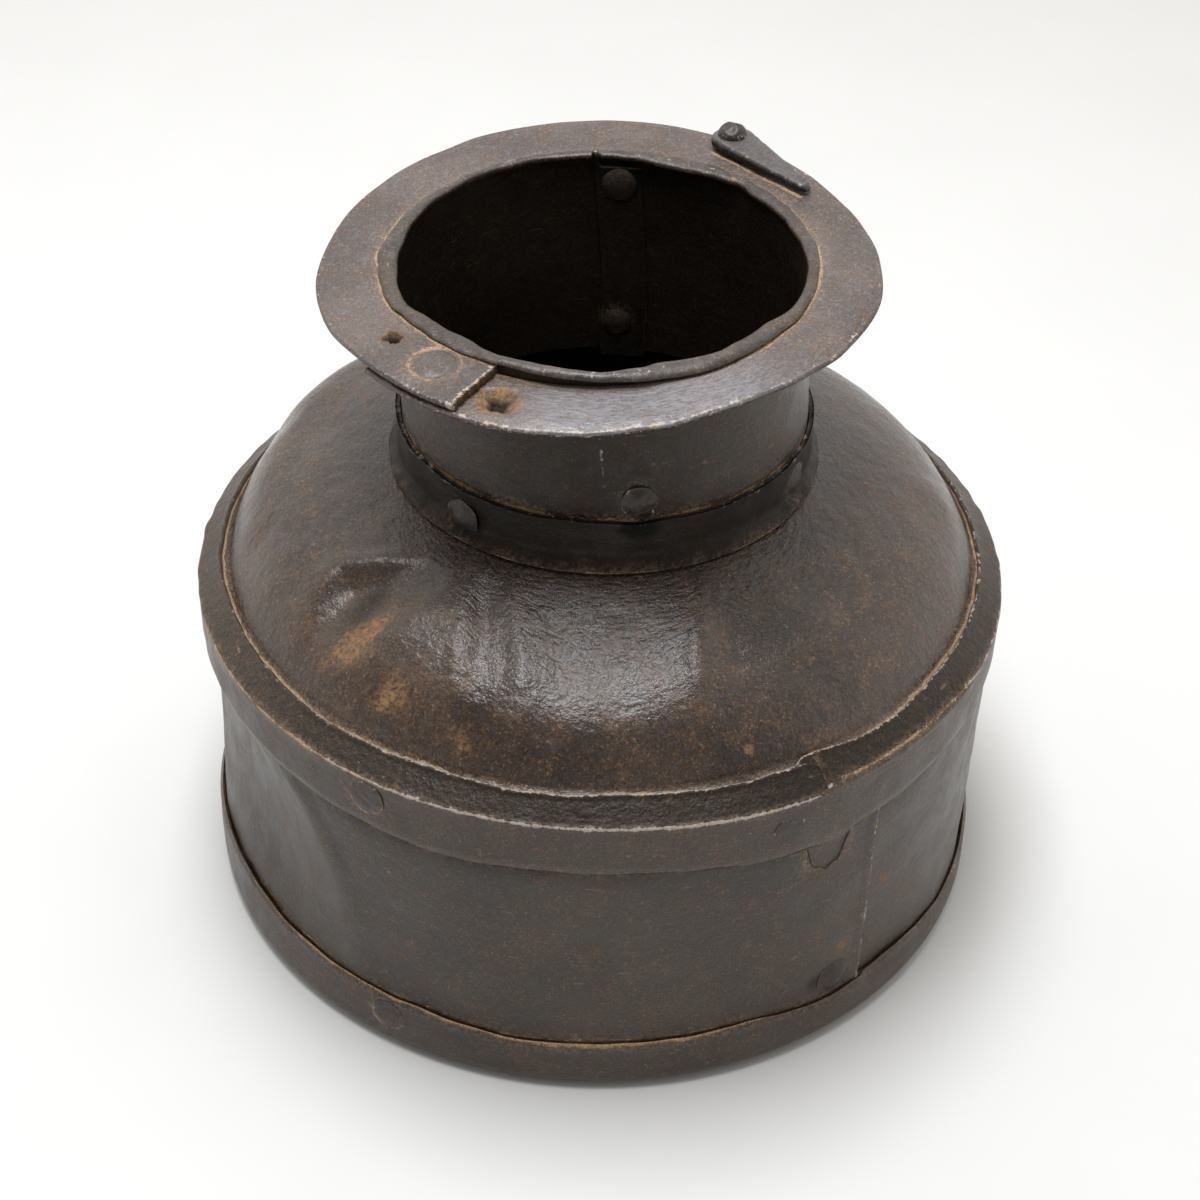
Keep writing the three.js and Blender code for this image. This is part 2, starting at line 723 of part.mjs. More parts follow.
// A rivet through the collar and the neck, or through the neck alone
function neckRivet(azimuth, z, faceRadius, held, head) {
  return {
    at: around(azimuth, faceRadius, z),
    out: around(azimuth, 1, 0),
    grip: held,
    cut: wallCutter,
    outerGap: seatGap,
    innerGap: seatGap + bow(neckRadius - neckSheet * 2, innerHeadRadius) + facetGap,
    ...head,
  };
}

const collarHeadShape = { headRadius: 7, headHeight: 1.6 };
const neckHeadShape = { headRadius: 6.2, headHeight: 1.6 };
const collarHeld = collarRadius - neckRadius + neckSheet;
const neckTuck = neckSheet + seatGap;
const collarRivetSeats = [
  { azimuth: -39.5, height: 7.4 },
  { azimuth: 9.7, height: collarHeight + neckHeadShape.headRadius + seatGap, overCollar: true },
  { azimuth: 63.8, height: 9.5 },
  { azimuth: 121, height: 9 },
  { azimuth: 177, height: 9.6, overLap: true },
  { azimuth: -100, height: 9 },
];

// One rivet of the row sits just over the collar's edge and goes through the neck alone
const collarRivetPlaces = collarRivetSeats.map((seat) => (seat.overCollar
  ? neckRivet(seat.azimuth, collarFoot + seat.height, neckRadius, neckSheet, neckHeadShape)
  : neckRivet(seat.azimuth, collarFoot + seat.height, collarRadius,
    collarHeld + (seat.overLap ? neckTuck : 0), collarHeadShape)));

// The neck's own seam rivet stands square to the leaning wall under the ring
const neckSeamRivetDrop = 11;
const neckSeamRivetPlace = (() => {
  const azimuth = neckSeamEnd - neckSeamLap / 2;
  const z = mouth.position.z - neckSeamRivetDrop;
  const at = neckPoint(azimuth, neckRadius, z);
  const out = at.clone().sub(neckPoint(azimuth, neckRadius - neckSheet, z)).normalize();
  const place = neckRivet(azimuth, z, neckRadius, neckSheet + neckTuck, collarHeadShape);
  return { ...place, at, out };
})();

// Holes worn and punched through the ring
function rimHole({ azimuth, place, long, wide, turn }) {
  const cutter = new THREE.CylinderGeometry(1, 1, mouthCutter, 5);
  cutter.rotateX(Math.PI / 2).rotateZ(turn * DEG).scale(long / 2, wide / 2, 1);
  const at = around(azimuth, rimInside + rimWidth * place, 0);
  cutter.translate(at.x, at.y, 0);
  return closedBody(cutter);
}

const pot = new THREE.Group();
const throughDrum = [...hoopRivetPlaces, hoopLapRivetPlace, drumSeamRivetPlace, ...baseRivetPlaces];
const throughNeck = [...collarRivetPlaces, neckSeamRivetPlace];
const throughCollar = collarRivetPlaces.filter((place, i) => !collarRivetSeats[i].overCollar);

pot.add(piece('base_pan', cut(panGeometry(), baseRivetPlaces.map(holeCutter)), wallIron));
pot.add(piece('drum_wall', cut(drumGeometry(), throughDrum.map(holeCutter)), wallIron));
pot.add(piece('shoulder_hoop',
  cut(hoopGeometry(), [...hoopRivetPlaces, hoopLapRivetPlace].map(holeCutter)), wallIron));
pot.add(piece('shoulder_dome', domeGeometry(), domeIron));
pot.add(piece('neck_collar', cut(collarGeometry(), throughCollar.map(holeCutter)), wallIron));
pot.add(piece('neck', cut(neckGeometry(), throughNeck.map(holeCutter)), wallIron));

const rimCutters = [rimLapRivetPlace, catchRivetPlace].map(holeCutter);
mouth.add(piece('rim_ring', cut(rimGeometry(), [...rimCutters, ...rimHoleTools.map(rimHole)]), rimIron));
mouth.add(piece('rim_lap_rivet', rivet(rimLapRivetPlace), rimIron));
mouth.add(piece('catch_rivet', rivet(catchRivetPlace), rivetIron));
const tongue = piece('catch_tongue', catchGeometry(), rimIron);
tongue.position.copy(catchPivot);
tongue.rotation.z = catchHeading * DEG;
mouth.add(tongue);
pot.add(mouth);

pot.add(piece('neck_seam_rivet', rivet(neckSeamRivetPlace), rivetIron));
pot.add(piece('hoop_lap_rivet', rivet(hoopLapRivetPlace), rivetIron));
pot.add(piece('drum_seam_rivet', rivet(drumSeamRivetPlace), rivetIron));
collarRivetPlaces.forEach((place, i) => pot.add(piece(`collar_rivet_${i + 1}`, rivet(place), rivetIron)));
hoopRivetPlaces.forEach((place, i) => pot.add(piece(`hoop_rivet_${i + 1}`, rivet(place), rivetIron)));
baseRivetPlaces.forEach((place, i) => pot.add(piece(`base_rivet_${i + 1}`, rivet(place), rivetIron)));

export default pot;
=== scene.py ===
"""Riveted iron water pot: fine sheet surfaces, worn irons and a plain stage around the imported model."""

import json
import math

import bpy
import numpy as np
from bpy.props import FloatProperty, FloatVectorProperty, PointerProperty
from mathutils import Matrix, Vector


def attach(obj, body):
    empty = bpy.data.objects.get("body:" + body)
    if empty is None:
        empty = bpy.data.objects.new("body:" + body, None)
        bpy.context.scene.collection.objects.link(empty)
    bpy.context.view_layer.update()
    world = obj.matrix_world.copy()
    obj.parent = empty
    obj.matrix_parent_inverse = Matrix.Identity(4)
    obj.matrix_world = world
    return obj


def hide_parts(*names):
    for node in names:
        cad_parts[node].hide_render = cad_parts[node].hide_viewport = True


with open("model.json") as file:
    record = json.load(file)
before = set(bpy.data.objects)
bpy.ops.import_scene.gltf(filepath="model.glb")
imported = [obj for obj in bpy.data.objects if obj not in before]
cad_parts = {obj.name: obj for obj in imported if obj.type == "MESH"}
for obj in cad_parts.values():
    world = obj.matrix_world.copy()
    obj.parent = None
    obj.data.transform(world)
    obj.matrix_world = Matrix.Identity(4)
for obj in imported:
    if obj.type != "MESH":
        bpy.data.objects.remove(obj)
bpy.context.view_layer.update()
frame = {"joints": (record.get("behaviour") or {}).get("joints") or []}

bl_info = {
    "name": "Iron Water Pot",
    "version": (1, 0, 0),
    "blender": (4, 5, 0),
    "location": "View3D > Sidebar > Water Pot",
    "description": "Builds the sheets, rivets, irons and stage of a riveted iron water pot",
    "category": "Add Mesh",
}

MM = 0.001
FAR = 20.0

# The mouth leans: its own frame comes from the catch's hinge
CATCH_JOINT = frame["joints"][0]
CATCH_AZIMUTH = 148.0
CATCH_RADIUS = 91.0 * MM
CATCH_HEADING = -52.4
CATCH_HEAD_FOOT = 5.3 * MM
BLADE_LENGTH = 43.0 * MM
BLADE_HALF = 7.5 * MM
BLADE_TIP_HALF = 2.2 * MM


# Sizes and finish that a user can change


class PotSizes(bpy.types.PropertyGroup):
    """Sizes of the sheets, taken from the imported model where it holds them."""

    gap: FloatProperty(
        name="Seat gap", description="Clearance between two sheets", default=0.3 * MM, unit="LENGTH"
    )
    drum_radius: FloatProperty(
        name="Drum radius", description="Outer face of the drum", default=149.4 * MM, unit="LENGTH"
    )
    drum_sheet: FloatProperty(
        name="Drum sheet", description="Thickness of the drum", default=1.6 * MM, unit="LENGTH"
    )
    drum_foot: FloatProperty(
        name="Drum foot", description="Lower edge of the drum", default=7.3 * MM, unit="LENGTH"
    )
    drum_top: FloatProperty(
        name="Drum top", description="Upper edge of the drum", default=127.9 * MM, unit="LENGTH"
    )
    dent_depth: FloatProperty(
        name="Dent depth", description="Depth of the broad dent in the drum", default=9.0 * MM, unit="LENGTH"
    )
    pan_radius: FloatProperty(
        name="Pan radius", description="Outer face of the pan's rim", default=151.7 * MM, unit="LENGTH"
    )
    pan_sheet: FloatProperty(
        name="Pan sheet", description="Thickness of the pan", default=2.0 * MM, unit="LENGTH"
    )
    hoop_sheet: FloatProperty(
        name="Hoop sheet", description="Thickness of the hoop", default=1.6 * MM, unit="LENGTH"
    )
    dome_sheet: FloatProperty(
        name="Dome sheet", description="Thickness of the dome", default=1.6 * MM, unit="LENGTH"
    )
    dome_rise: FloatProperty(
        name="Dome rise", description="Height of the crown over its seat", default=42.1 * MM, unit="LENGTH"
    )
    neck_radius: FloatProperty(
        name="Neck radius", description="Outer face of the neck", default=73.2 * MM, unit="LENGTH"
    )
    neck_sheet: FloatProperty(
        name="Neck sheet", description="Thickness of the neck", default=1.8 * MM, unit="LENGTH"
    )
    collar_sheet: FloatProperty(
        name="Collar sheet", description="Thickness of the collar", default=1.8 * MM, unit="LENGTH"
    )
    collar_height: FloatProperty(
        name="Collar height", description="Height of the collar", default=19.5 * MM, unit="LENGTH"
    )
    rim_plate: FloatProperty(
        name="Ring plate", description="Thickness of the ring", default=3.0 * MM, unit="LENGTH"
    )


class PotIrons(bpy.types.PropertyGroup):
    """Colours of the iron, its rust and its dust."""

    wall: FloatVectorProperty(
        name="Wall iron", description="Drum, hoop, pan, collar and neck",
        default=(0.0325, 0.0232, 0.0158), subtype="COLOR",
    )
    dome: FloatVectorProperty(
        name="Dome iron", description="Dome", default=(0.0350, 0.0242, 0.0190), subtype="COLOR"
    )
    rim: FloatVectorProperty(
        name="Ring iron", description="Ring and catch", default=(0.078, 0.0635, 0.059), subtype="COLOR"
    )
    rivet: FloatVectorProperty(
        name="Rivet iron", description="Rivets", default=(0.0270, 0.0220, 0.0180), subtype="COLOR"
    )
    # Made lighter, this blue scale is also the colour of the painted sheen that the polish layer adds.
    cool: FloatVectorProperty(
        name="Blue scale", description="Blue grey scale left on the iron",
        default=(0.125, 0.127, 0.142), subtype="COLOR",
    )
    brown: FloatVectorProperty(
        name="Brown rust", description="Thin old rust", default=(0.115, 0.063, 0.032), subtype="COLOR"
    )
    orange: FloatVectorProperty(
        name="Orange rust", description="Fresh rust", default=(0.36, 0.180, 0.060), subtype="COLOR"
    )
    dust: FloatVectorProperty(
        name="Dust", description="Tan dust in the joints", default=(0.43, 0.275, 0.165), subtype="COLOR"
    )
    bare: FloatVectorProperty(
        name="Bare iron", description="Iron rubbed bare at edges", default=(0.46, 0.44, 0.44), subtype="COLOR"
    )
    # Mixed in where the dark layer is painted: mostly painted shade in corners, recesses, under the ring and
    # inside the neck, and some darker tone on rivets and the catch.
    soot: FloatVectorProperty(
        name="Soot", description="Dark film in corners and inside",
        default=(0.0062, 0.0060, 0.0051), subtype="COLOR",
    )


class PotStage(bpy.types.PropertyGroup):
    """Floor, lights and camera."""

    floor_colour: FloatVectorProperty(
        name="Floor", description="Colour of the floor", default=(0.752, 0.757, 0.747), subtype="COLOR"
    )
    key_power: FloatProperty(name="Key light", description="Overhead light", default=20.0, unit="POWER")
    sky: FloatProperty(name="Sky", description="Light from the back and the sides", default=0.94, min=0.0)
    front_sky: FloatProperty(
        name="Front sky", description="Light from the viewer's side", default=0.25, min=0.0
    )
    lens: FloatProperty(name="Lens", description="Focal length in millimetres", default=67.63)


# Curves and relief that several sheets share


def ease(t):
    """0 up to t = 0, 1 from t = 1, and 3t^2 - 2t^3 between them."""
    s = np.clip(t, 0.0, 1.0)
    return s * s * (3.0 - 2.0 * s)


def swell(across, along=0.0):
    """(1 - d^2)^2 inside the ellipse d = 1, where d^2 = across^2 + along^2, and 0 outside it."""
    return (1.0 - np.minimum(across**2 + along**2, 1.0)) ** 2


def turn(azimuth, middle):
    """Degrees from a middle azimuth, from -180 to 180."""
    return (azimuth - middle + 180.0) % 360.0 - 180.0


def around(azimuth, radius, z):
    """(r sin a, -r cos a, z): azimuth 0 is the front, towards -Y, and 90 is the right."""
    angle = np.radians(azimuth)
    parts = np.broadcast_arrays(radius * np.sin(angle), -radius * np.cos(angle), z)
    return np.stack(parts, axis=-1)


def through(azimuth, knots):
    """Eases round the pot from one (azimuth, value) knot to the next, and from the last to the first."""
    places = np.array([place for place, value in knots])
    values = np.array([value for place, value in knots])
    places = np.append(places, places[0] + 360.0)
    values = np.append(values, values[0])
    a = (np.asarray(azimuth) - places[0]) % 360.0
    left = np.clip(np.searchsorted(places - places[0], a, side="right") - 1, 0, len(knots) - 1)
    start = places[left] - places[0]
    width = places[left + 1] - places[left]
    share = ease((a - start) / width)
    return values[left] * (1.0 - share) + values[left + 1] * share


def wavy(azimuth, seed, fewest, most, height):
    """A closed wave round the pot: cosines of fewest to most turns with seeded phases, about height high."""
    rng = np.random.default_rng(seed)
    counts = np.arange(fewest, most + 1)
    weights = rng.normal(size=counts.size)
    phases = rng.uniform(0.0, 2.0 * np.pi, counts.size)
    angle = np.radians(np.asarray(azimuth))[..., None]
    total = (weights * np.cos(angle * counts + phases)).sum(-1)
    return height * total / np.linalg.norm(weights)


def ripples(azimuth, run, girth, seed, longest, shortest, height, flow=1.0):
    """Sum of 40 waves over azimuth and run. A wave makes whole turns, is longest to shortest long, and
    flow over 1 stretches the waves round the pot."""
    rng = np.random.default_rng(seed)
    length = longest * (shortest / longest) ** rng.uniform(size=40)
    way = rng.uniform(0.0, np.pi, 40)
    turns = np.round(np.cos(way) * girth / (length * flow))
    steps = np.sin(way) * 2.0 * np.pi / length
    phases = rng.uniform(0.0, 2.0 * np.pi, 40)
    total = np.zeros(np.broadcast(azimuth, run).shape)
    for k in range(40):
        total += np.cos(np.radians(azimuth) * turns[k] + run * steps[k] + phases[k])
    return height * total / math.sqrt(20.0)


def hammered(azimuth, run, girth, seed, count, reach, size, depth):
    """Shallow hollows of seeded places, half widths and depths, summed: depth * (1 - d^2)^2 each."""
    rng = np.random.default_rng(seed)
    total = np.zeros(np.broadcast(azimuth, run).shape)
    for _ in range(count):
        middle = rng.uniform(-180.0, 180.0)
        place = rng.uniform(*reach)
        half = rng.uniform(*size)
        deep = depth * rng.uniform(0.3, 1.0)
        across = turn(azimuth, middle) * girth / 360.0 / half
        total += deep * swell(across, (run - place) / half)
    return total


def offset_line(line, distance):
    """Moves a line [..., (r, z)] to its left: by the mean of its neighbours' normals, longer at corners."""
    step = np.diff(line, axis=-2)
    normal = np.stack((-step[..., 1], step[..., 0]), axis=-1)
    normal /= np.linalg.norm(normal, axis=-1, keepdims=True)
    before = np.concatenate((normal[..., :1, :], normal), axis=-2)
    after = np.concatenate((normal, normal[..., -1:, :]), axis=-2)
    corner = 1.0 + (before * after).sum(-1, keepdims=True)
    return line + (before + after) * distance / corner


def half_round(front, back, steps, bulge):
    """Rounds a sheet's edge between two lines' ends: mid + half * cos p - and + out * bulge * sin p."""
    middle = (front + back) / 2.0
    half = (front - back) / 2.0
    outward = np.stack((half[..., 1], -half[..., 0]), axis=-1) * bulge
    angle = np.linspace(0.0, np.pi / 2.0, steps + 2)[1:-1]
    cosine = np.cos(angle)[:, None]
    sine = np.sin(angle)[:, None]
    near = middle[..., None, :] + half[..., None, :] * cosine + outward[..., None, :] * sine
    far = middle[..., None, :] - half[..., None, :] * cosine + outward[..., None, :] * sine
    return near, far


def sheet_section(face, thickness, start_bulge=0.6, end_bulge=0.6, steps=3):
    """Closed section of a bent sheet: its face, a back one thickness to the left, and half-round edges.
    A bulge of None leaves that end bare, for a sheet that reaches the axis."""
    back = offset_line(face, thickness)
    fronts, backs = [face], [back]
    if start_bulge is not None:
        near, far = half_round(face[..., 0, :], back[..., 0, :], steps, -start_bulge)
        fronts.insert(0, near[..., ::-1, :])
        backs.insert(0, far[..., ::-1, :])
    if end_bulge is not None:
        near, far = half_round(face[..., -1, :], back[..., -1, :], steps, end_bulge)
        fronts.append(near)
        backs.append(far)
    front = np.concatenate(fronts, axis=-2)
    back = np.concatenate(backs, axis=-2)
    return np.concatenate((front, back[..., ::-1, :]), axis=-2)


def line_between(corners, counts):
    """Polyline through corners (each an array of r and z) with that many equal steps on each stretch."""
    pieces = []
    for (start, end), count in zip(zip(corners[:-1], corners[1:]), counts):
        share = np.linspace(0.0, 1.0, count, endpoint=False)[:, None]
        pieces.append(start[..., None, :] * (1.0 - share) + end[..., None, :] * share)
    pieces.append(corners[-1][..., None, :])
    shapes = [np.broadcast_shapes(*(p.shape[:-2] for p in pieces))] * len(pieces)
    filled = [np.broadcast_to(p, shape + p.shape[-2:]) for p, shape in zip(pieces, shapes)]
    return np.concatenate(filled, axis=-2)


def pair(radius, z):
    """Stacks r and z of a section's corner, for one or for all azimuths."""
    return np.stack(np.broadcast_arrays(radius, z), axis=-1).astype(float)


# Meshes from grids


def signed_volume(points, quads):
    """Sixth of the summed triple products of each quad's two triangles."""
    a, b, c, d = (points[quads[:, k]] for k in range(4))
    first = (a * np.cross(b, c)).sum()
    return (first + (a * np.cross(c, d)).sum()) / 6.0


def make_piece(name, points, faces, body, node, slot):
    """Makes a mesh object from points and lists of equal-sided faces, turned so that they point outwards."""
    volume = sum(
        signed_volume(points, group if group.shape[1] == 4 else group[:, [0, 1, 2, 2]]) for group in faces
    )
    if volume < 0.0:
        faces = [group[:, ::-1] for group in faces]
    mesh = bpy.data.meshes.new(name)
    mesh.vertices.add(len(points))
    mesh.vertices.foreach_set("co", points.astype(np.float32).ravel())
    corners = np.concatenate([group.ravel() for group in faces])
    sides = np.concatenate([np.full(len(group), group.shape[1]) for group in faces])
    starts = np.concatenate(([0], np.cumsum(sides)[:-1]))
    mesh.loops.add(len(corners))
    mesh.loops.foreach_set("vertex_index", corners.astype(np.int32))
    mesh.polygons.add(len(sides))
    mesh.polygons.foreach_set("loop_start", starts.astype(np.int32))
    mesh.polygons.foreach_set("use_smooth", np.ones(len(sides), dtype=bool))
    mesh.update(calc_edges=True)
    mesh.validate()
    mesh.set_sharp_from_angle(angle=math.radians(50.0))
    piece = bpy.data.objects.new(name, mesh)
    bpy.context.scene.collection.objects.link(piece)
    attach(piece, body)
    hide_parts(node)
    piece.data.materials.append(bpy.data.materials["old_" + slot])
    return piece


def strip_faces(stations, places, closed):
    """Quads of a closed section carried along. An open strip gets end faces from its front to its back."""
    index = np.arange(stations * places).reshape(stations, places)
    here = index if closed else index[:-1]
    ahead = np.roll(index, -1, axis=0) if closed else index[1:]
    sides = np.stack((here, np.roll(here, -1, 1), np.roll(ahead, -1, 1), ahead), axis=-1).reshape(-1, 4)
    if closed:
        return sides
    half = places // 2
    front = index[:, :half]
    back = index[:, ::-1][:, :half]
    ends = np.stack((front[:, :-1], front[:, 1:], back[:, 1:], back[:, :-1]), axis=-1)
    return np.concatenate((sides, ends[0][:, ::-1], ends[-1]))


def disc_faces(stations, places):
    """Quads of an open section turned right round, and a fan of triangles to a pole at each end."""
    index = np.arange(stations * places).reshape(stations, places)
    ahead = np.roll(index, -1, axis=0)
    sides = np.stack((index[:, :-1], index[:, 1:], ahead[:, 1:], ahead[:, :-1]), axis=-1).reshape(-1, 4)
    first = stations * places
    low = np.stack((np.full(stations, first), index[:, 0], ahead[:, 0]), axis=-1)
    high = np.stack((index[:, -1], np.full(stations, first + 1), ahead[:, -1]), axis=-1)
    return sides, np.concatenate((low, high))


def paint(piece, **layers):
    """Writes per-point values that the irons read: seam dust, wear, rust, a dark layer that is mostly painted
    shade with some darker tone, a polish that also paints a pale sheen, crinkle and run.
    """
    for name, values in layers.items():
        attribute = piece.data.attributes.new(name, "FLOAT", "POINT")
        attribute.data.foreach_set("value", np.ascontiguousarray(values, dtype=np.float32).ravel())


def finish_sheet(name, node, slot, points, closed, layers):
    """Makes the piece of a carried section and paints it. points is [station, place, xyz]."""
    stations, places = points.shape[:2]
    piece = make_piece(
        name, points.reshape(-1, 3), [strip_faces(stations, places, closed)], "pot", node, slot
    )
    defaults = {"seam": FAR, "wear": 0.0, "rust": 0.0, "grime": 0.0, "run": 0.0}
    defaults.update(layers)
    shape = (stations, places)
    paint(piece, **{key: np.broadcast_to(value, shape) for key, value in defaults.items()})
    return piece


def rings_of_rivets(azimuth, z, radius, places):
    """Distance in mm from the nearest rivet's outline, over the outer face, plus up to 3 mm away from the
    side where its dust lies. places is (azimuth, z, head, side), the side in degrees up from the right."""
    nearest = np.full(np.broadcast(azimuth, z).shape, FAR)
    for middle, height, head, side in places:
        across = np.radians(turn(azimuth, middle)) * radius
        angle = np.arctan2(z - height, across)
        lack = 1.5 * (1.0 - np.cos(angle - np.radians(side)))
        nearest = np.minimum(nearest, np.abs(np.hypot(across, z - height) - head) / MM + lack)
    return nearest


# Places that the pieces share

HOOP_RIVETS = ((-30.4, 123.0 * MM), (100.0, 123.0 * MM), (-142.0, 123.0 * MM))
HOOP_LAP_RIVET = (25.5, 120.5 * MM)
DRUM_SEAM_RIVET = (36.5, 30.0 * MM)
BASE_RIVETS = ((-28.7, 16.6 * MM), (103.0, 16.6 * MM), (171.0, 16.6 * MM), (-101.0, 16.6 * MM))
COLLAR_RIVETS = (
    (-39.5, 187.7 * MM), (9.7, 206.3 * MM), (63.8, 189.8 * MM),
    (121.0, 189.3 * MM), (177.0, 189.9 * MM), (-100.0, 189.3 * MM),
)
HEAD_FLAT = 6.8 * MM
HEAD_COLLAR = 7.0 * MM
HEAD_NECK = 6.2 * MM
NECK_RIVET = 2
NECK_LAP_RIVET = 5
NECK_SEAM_RIVET = (174.75, -11.0 * MM)
RIVET_PLAY = 0.4 * MM
HEAD_DOMED = 7.5 * MM
HEAD_LAP = 6.0 * MM

DRUM_SEAM = 41.5
DRUM_SEAM_LAP = 13.0
DRUM_SEAM_BLEND = 24.0

PAN_EDGE = (
    (-180.0, 25.5), (-140.0, 24.2), (-100.0, 26.5), (-60.0, 30.0), (-46.0, 27.6), (-26.0, 26.4), (-8.0, 23.7),
    (8.0, 24.6), (22.0, 25.2), (36.0, 20.8), (50.0, 21.0), (68.0, 18.6), (100.0, 23.0), (140.0, 25.0),
)
HOOP_EDGE = (
    (-180.0, 109.6), (-140.0, 108.8), (-100.0, 110.4), (-51.0, 110.9), (-35.0, 109.6), (-20.0, 107.9),
    (-4.0, 109.6), (11.0, 109.4), (27.0, 107.6), (34.0, 105.9), (39.0, 107.4), (58.0, 110.2), (100.0, 109.2),
    (140.0, 110.0),
)
HOOP_REACH = (
    (-180.0, 10.4), (-130.0, 9.8), (-90.0, 9.9), (-62.0, 11.4), (-40.0, 10.5), (-22.0, 11.2), (-8.0, 10.2),
    (4.0, 11.3), (18.0, 10.2), (28.0, 10.4), (45.0, 10.8), (60.0, 11.9), (78.0, 11.0), (110.0, 10.4),
    (145.0, 11.3),
)


def seat_slope():
    """Slope of the dome's seat and of the hoop's flange."""
    return math.radians(37.0)


def hoop_corner(sizes):
    """Inner corner of the hoop: on the drum's face plus a gap, and a gap above the dome's seat."""
    slope = seat_slope()
    edge_radius = sizes.drum_radius - 0.2 * MM
    edge_z = sizes.drum_top + sizes.gap + sizes.dome_sheet / math.cos(slope)
    inside = sizes.drum_radius + sizes.gap
    return inside, edge_z - (inside - edge_radius) * math.tan(slope) + sizes.gap / math.cos(slope)


def dome_line(sizes, count):
    """The dome's face: a straight seat, then a cubic curve from 65 degrees at its foot to 12 at the neck."""
    slope = seat_slope()
    edge_z = sizes.drum_top + sizes.gap + sizes.dome_sheet / math.cos(slope)
    edge = np.array((sizes.drum_radius - 0.2 * MM, edge_z))
    seat = 12.0 * MM * math.cos(slope) + 0.6 * MM
    foot = edge + np.array((-seat, seat * math.tan(slope)))
    top = np.array((sizes.neck_radius + sizes.gap, foot[1] + sizes.dome_rise))
    chord = np.linalg.norm(top - foot)
    foot_way = math.radians(180.0 - 65.0)
    top_way = math.radians(-12.0)
    climb = foot + 0.4 * chord * np.array((math.cos(foot_way), math.sin(foot_way)))
    settle = top + 0.5 * chord * np.array((math.cos(top_way), math.sin(top_way)))
    t = np.linspace(0.0, 1.0, count)[:, None]
    s = 1.0 - t
    crown = s**3 * foot + 3.0 * s * s * t * climb + 3.0 * s * t * t * settle + t**3 * top
    straight = np.linspace(0.0, 1.0, 8, endpoint=False)[:, None]
    return np.concatenate((edge + (foot - edge) * straight, crown))


def pan_edge(azimuth):
    """Height of the pan's hand-cut upper edge."""
    return through(azimuth, PAN_EDGE) * MM + wavy(azimuth, 11, 14, 60, 0.28 * MM)


def hoop_edge(azimuth):
    """Height of the hoop's lower edge."""
    return through(azimuth, HOOP_EDGE) * MM + wavy(azimuth, 12, 14, 60, 0.22 * MM)


def hoop_reach(azimuth):
    """How far the hoop's flange reaches in over the dome."""
    return through(azimuth, HOOP_REACH) * MM + wavy(azimuth, 13, 16, 70, 0.22 * MM)


def drum_radius_at(sizes, azimuth):
    """The drum's strip: it lies one step further in under its own end, and comes out after the seam."""
    step = sizes.drum_sheet + sizes.gap
    return sizes.drum_radius - step * (1.0 - ease((azimuth - DRUM_SEAM) / DRUM_SEAM_BLEND))


def drum_relief(sizes, azimuth, z):
    """How far the drum's wall is beaten in: one broad dent with a sharp right side that leans to the left as
    it rises, a lobe at its upper left, and small hollows."""
    lean = np.clip((z - 46.0 * MM) / (60.0 * MM), 0.0, 1.1) ** 2
    right = -36.0 - 10.0 * lean
    left = -88.0
    across = turn(azimuth, (right + left) / 2.0) / ((right - left) / 2.0)
    rise = np.maximum(1.0 - ((z - 74.0 * MM) / (50.0 * MM)) ** 2, 0.0) ** 1.6
    dent = sizes.dent_depth * np.maximum(1.0 - across**2, 0.0) ** 1.35 * rise
    lobe = 3.3 * MM * swell(turn(azimuth, -87.0) / 13.0, (z - 91.0 * MM) / (25.0 * MM))
    fold = -0.7 * MM * swell(turn(azimuth, right + 1.5) / 4.0) * ease((z - 20.0 * MM) / (16.0 * MM))
    fold = fold * ease((112.0 * MM - z) / (14.0 * MM))
    bottom = 0.8 * MM * swell(turn(azimuth, -50.0) / 9.0, (z - 48.0 * MM) / (22.0 * MM))
    girth = 2.0 * np.pi * sizes.drum_radius
    reach = (sizes.drum_foot + 10.0 * MM, sizes.drum_top - 14.0 * MM)
    small = hammered(azimuth, z, girth, 21, 46, reach, (9.0 * MM, 26.0 * MM), 0.45 * MM)
    soft = ripples(azimuth, z, girth, 22, 60.0 * MM, 16.0 * MM, 0.12 * MM)
    ends = ease((z - sizes.drum_foot) / (12.0 * MM)) * ease((sizes.drum_top - z) / (22.0 * MM))
    return dent + lobe + fold + bottom + (small + soft) * ends


def neck_foot_radius(sizes):
    """Inside this radius the dome keeps its own curve, over the neck's turned-out foot."""
    return sizes.neck_radius + 9.0 * MM


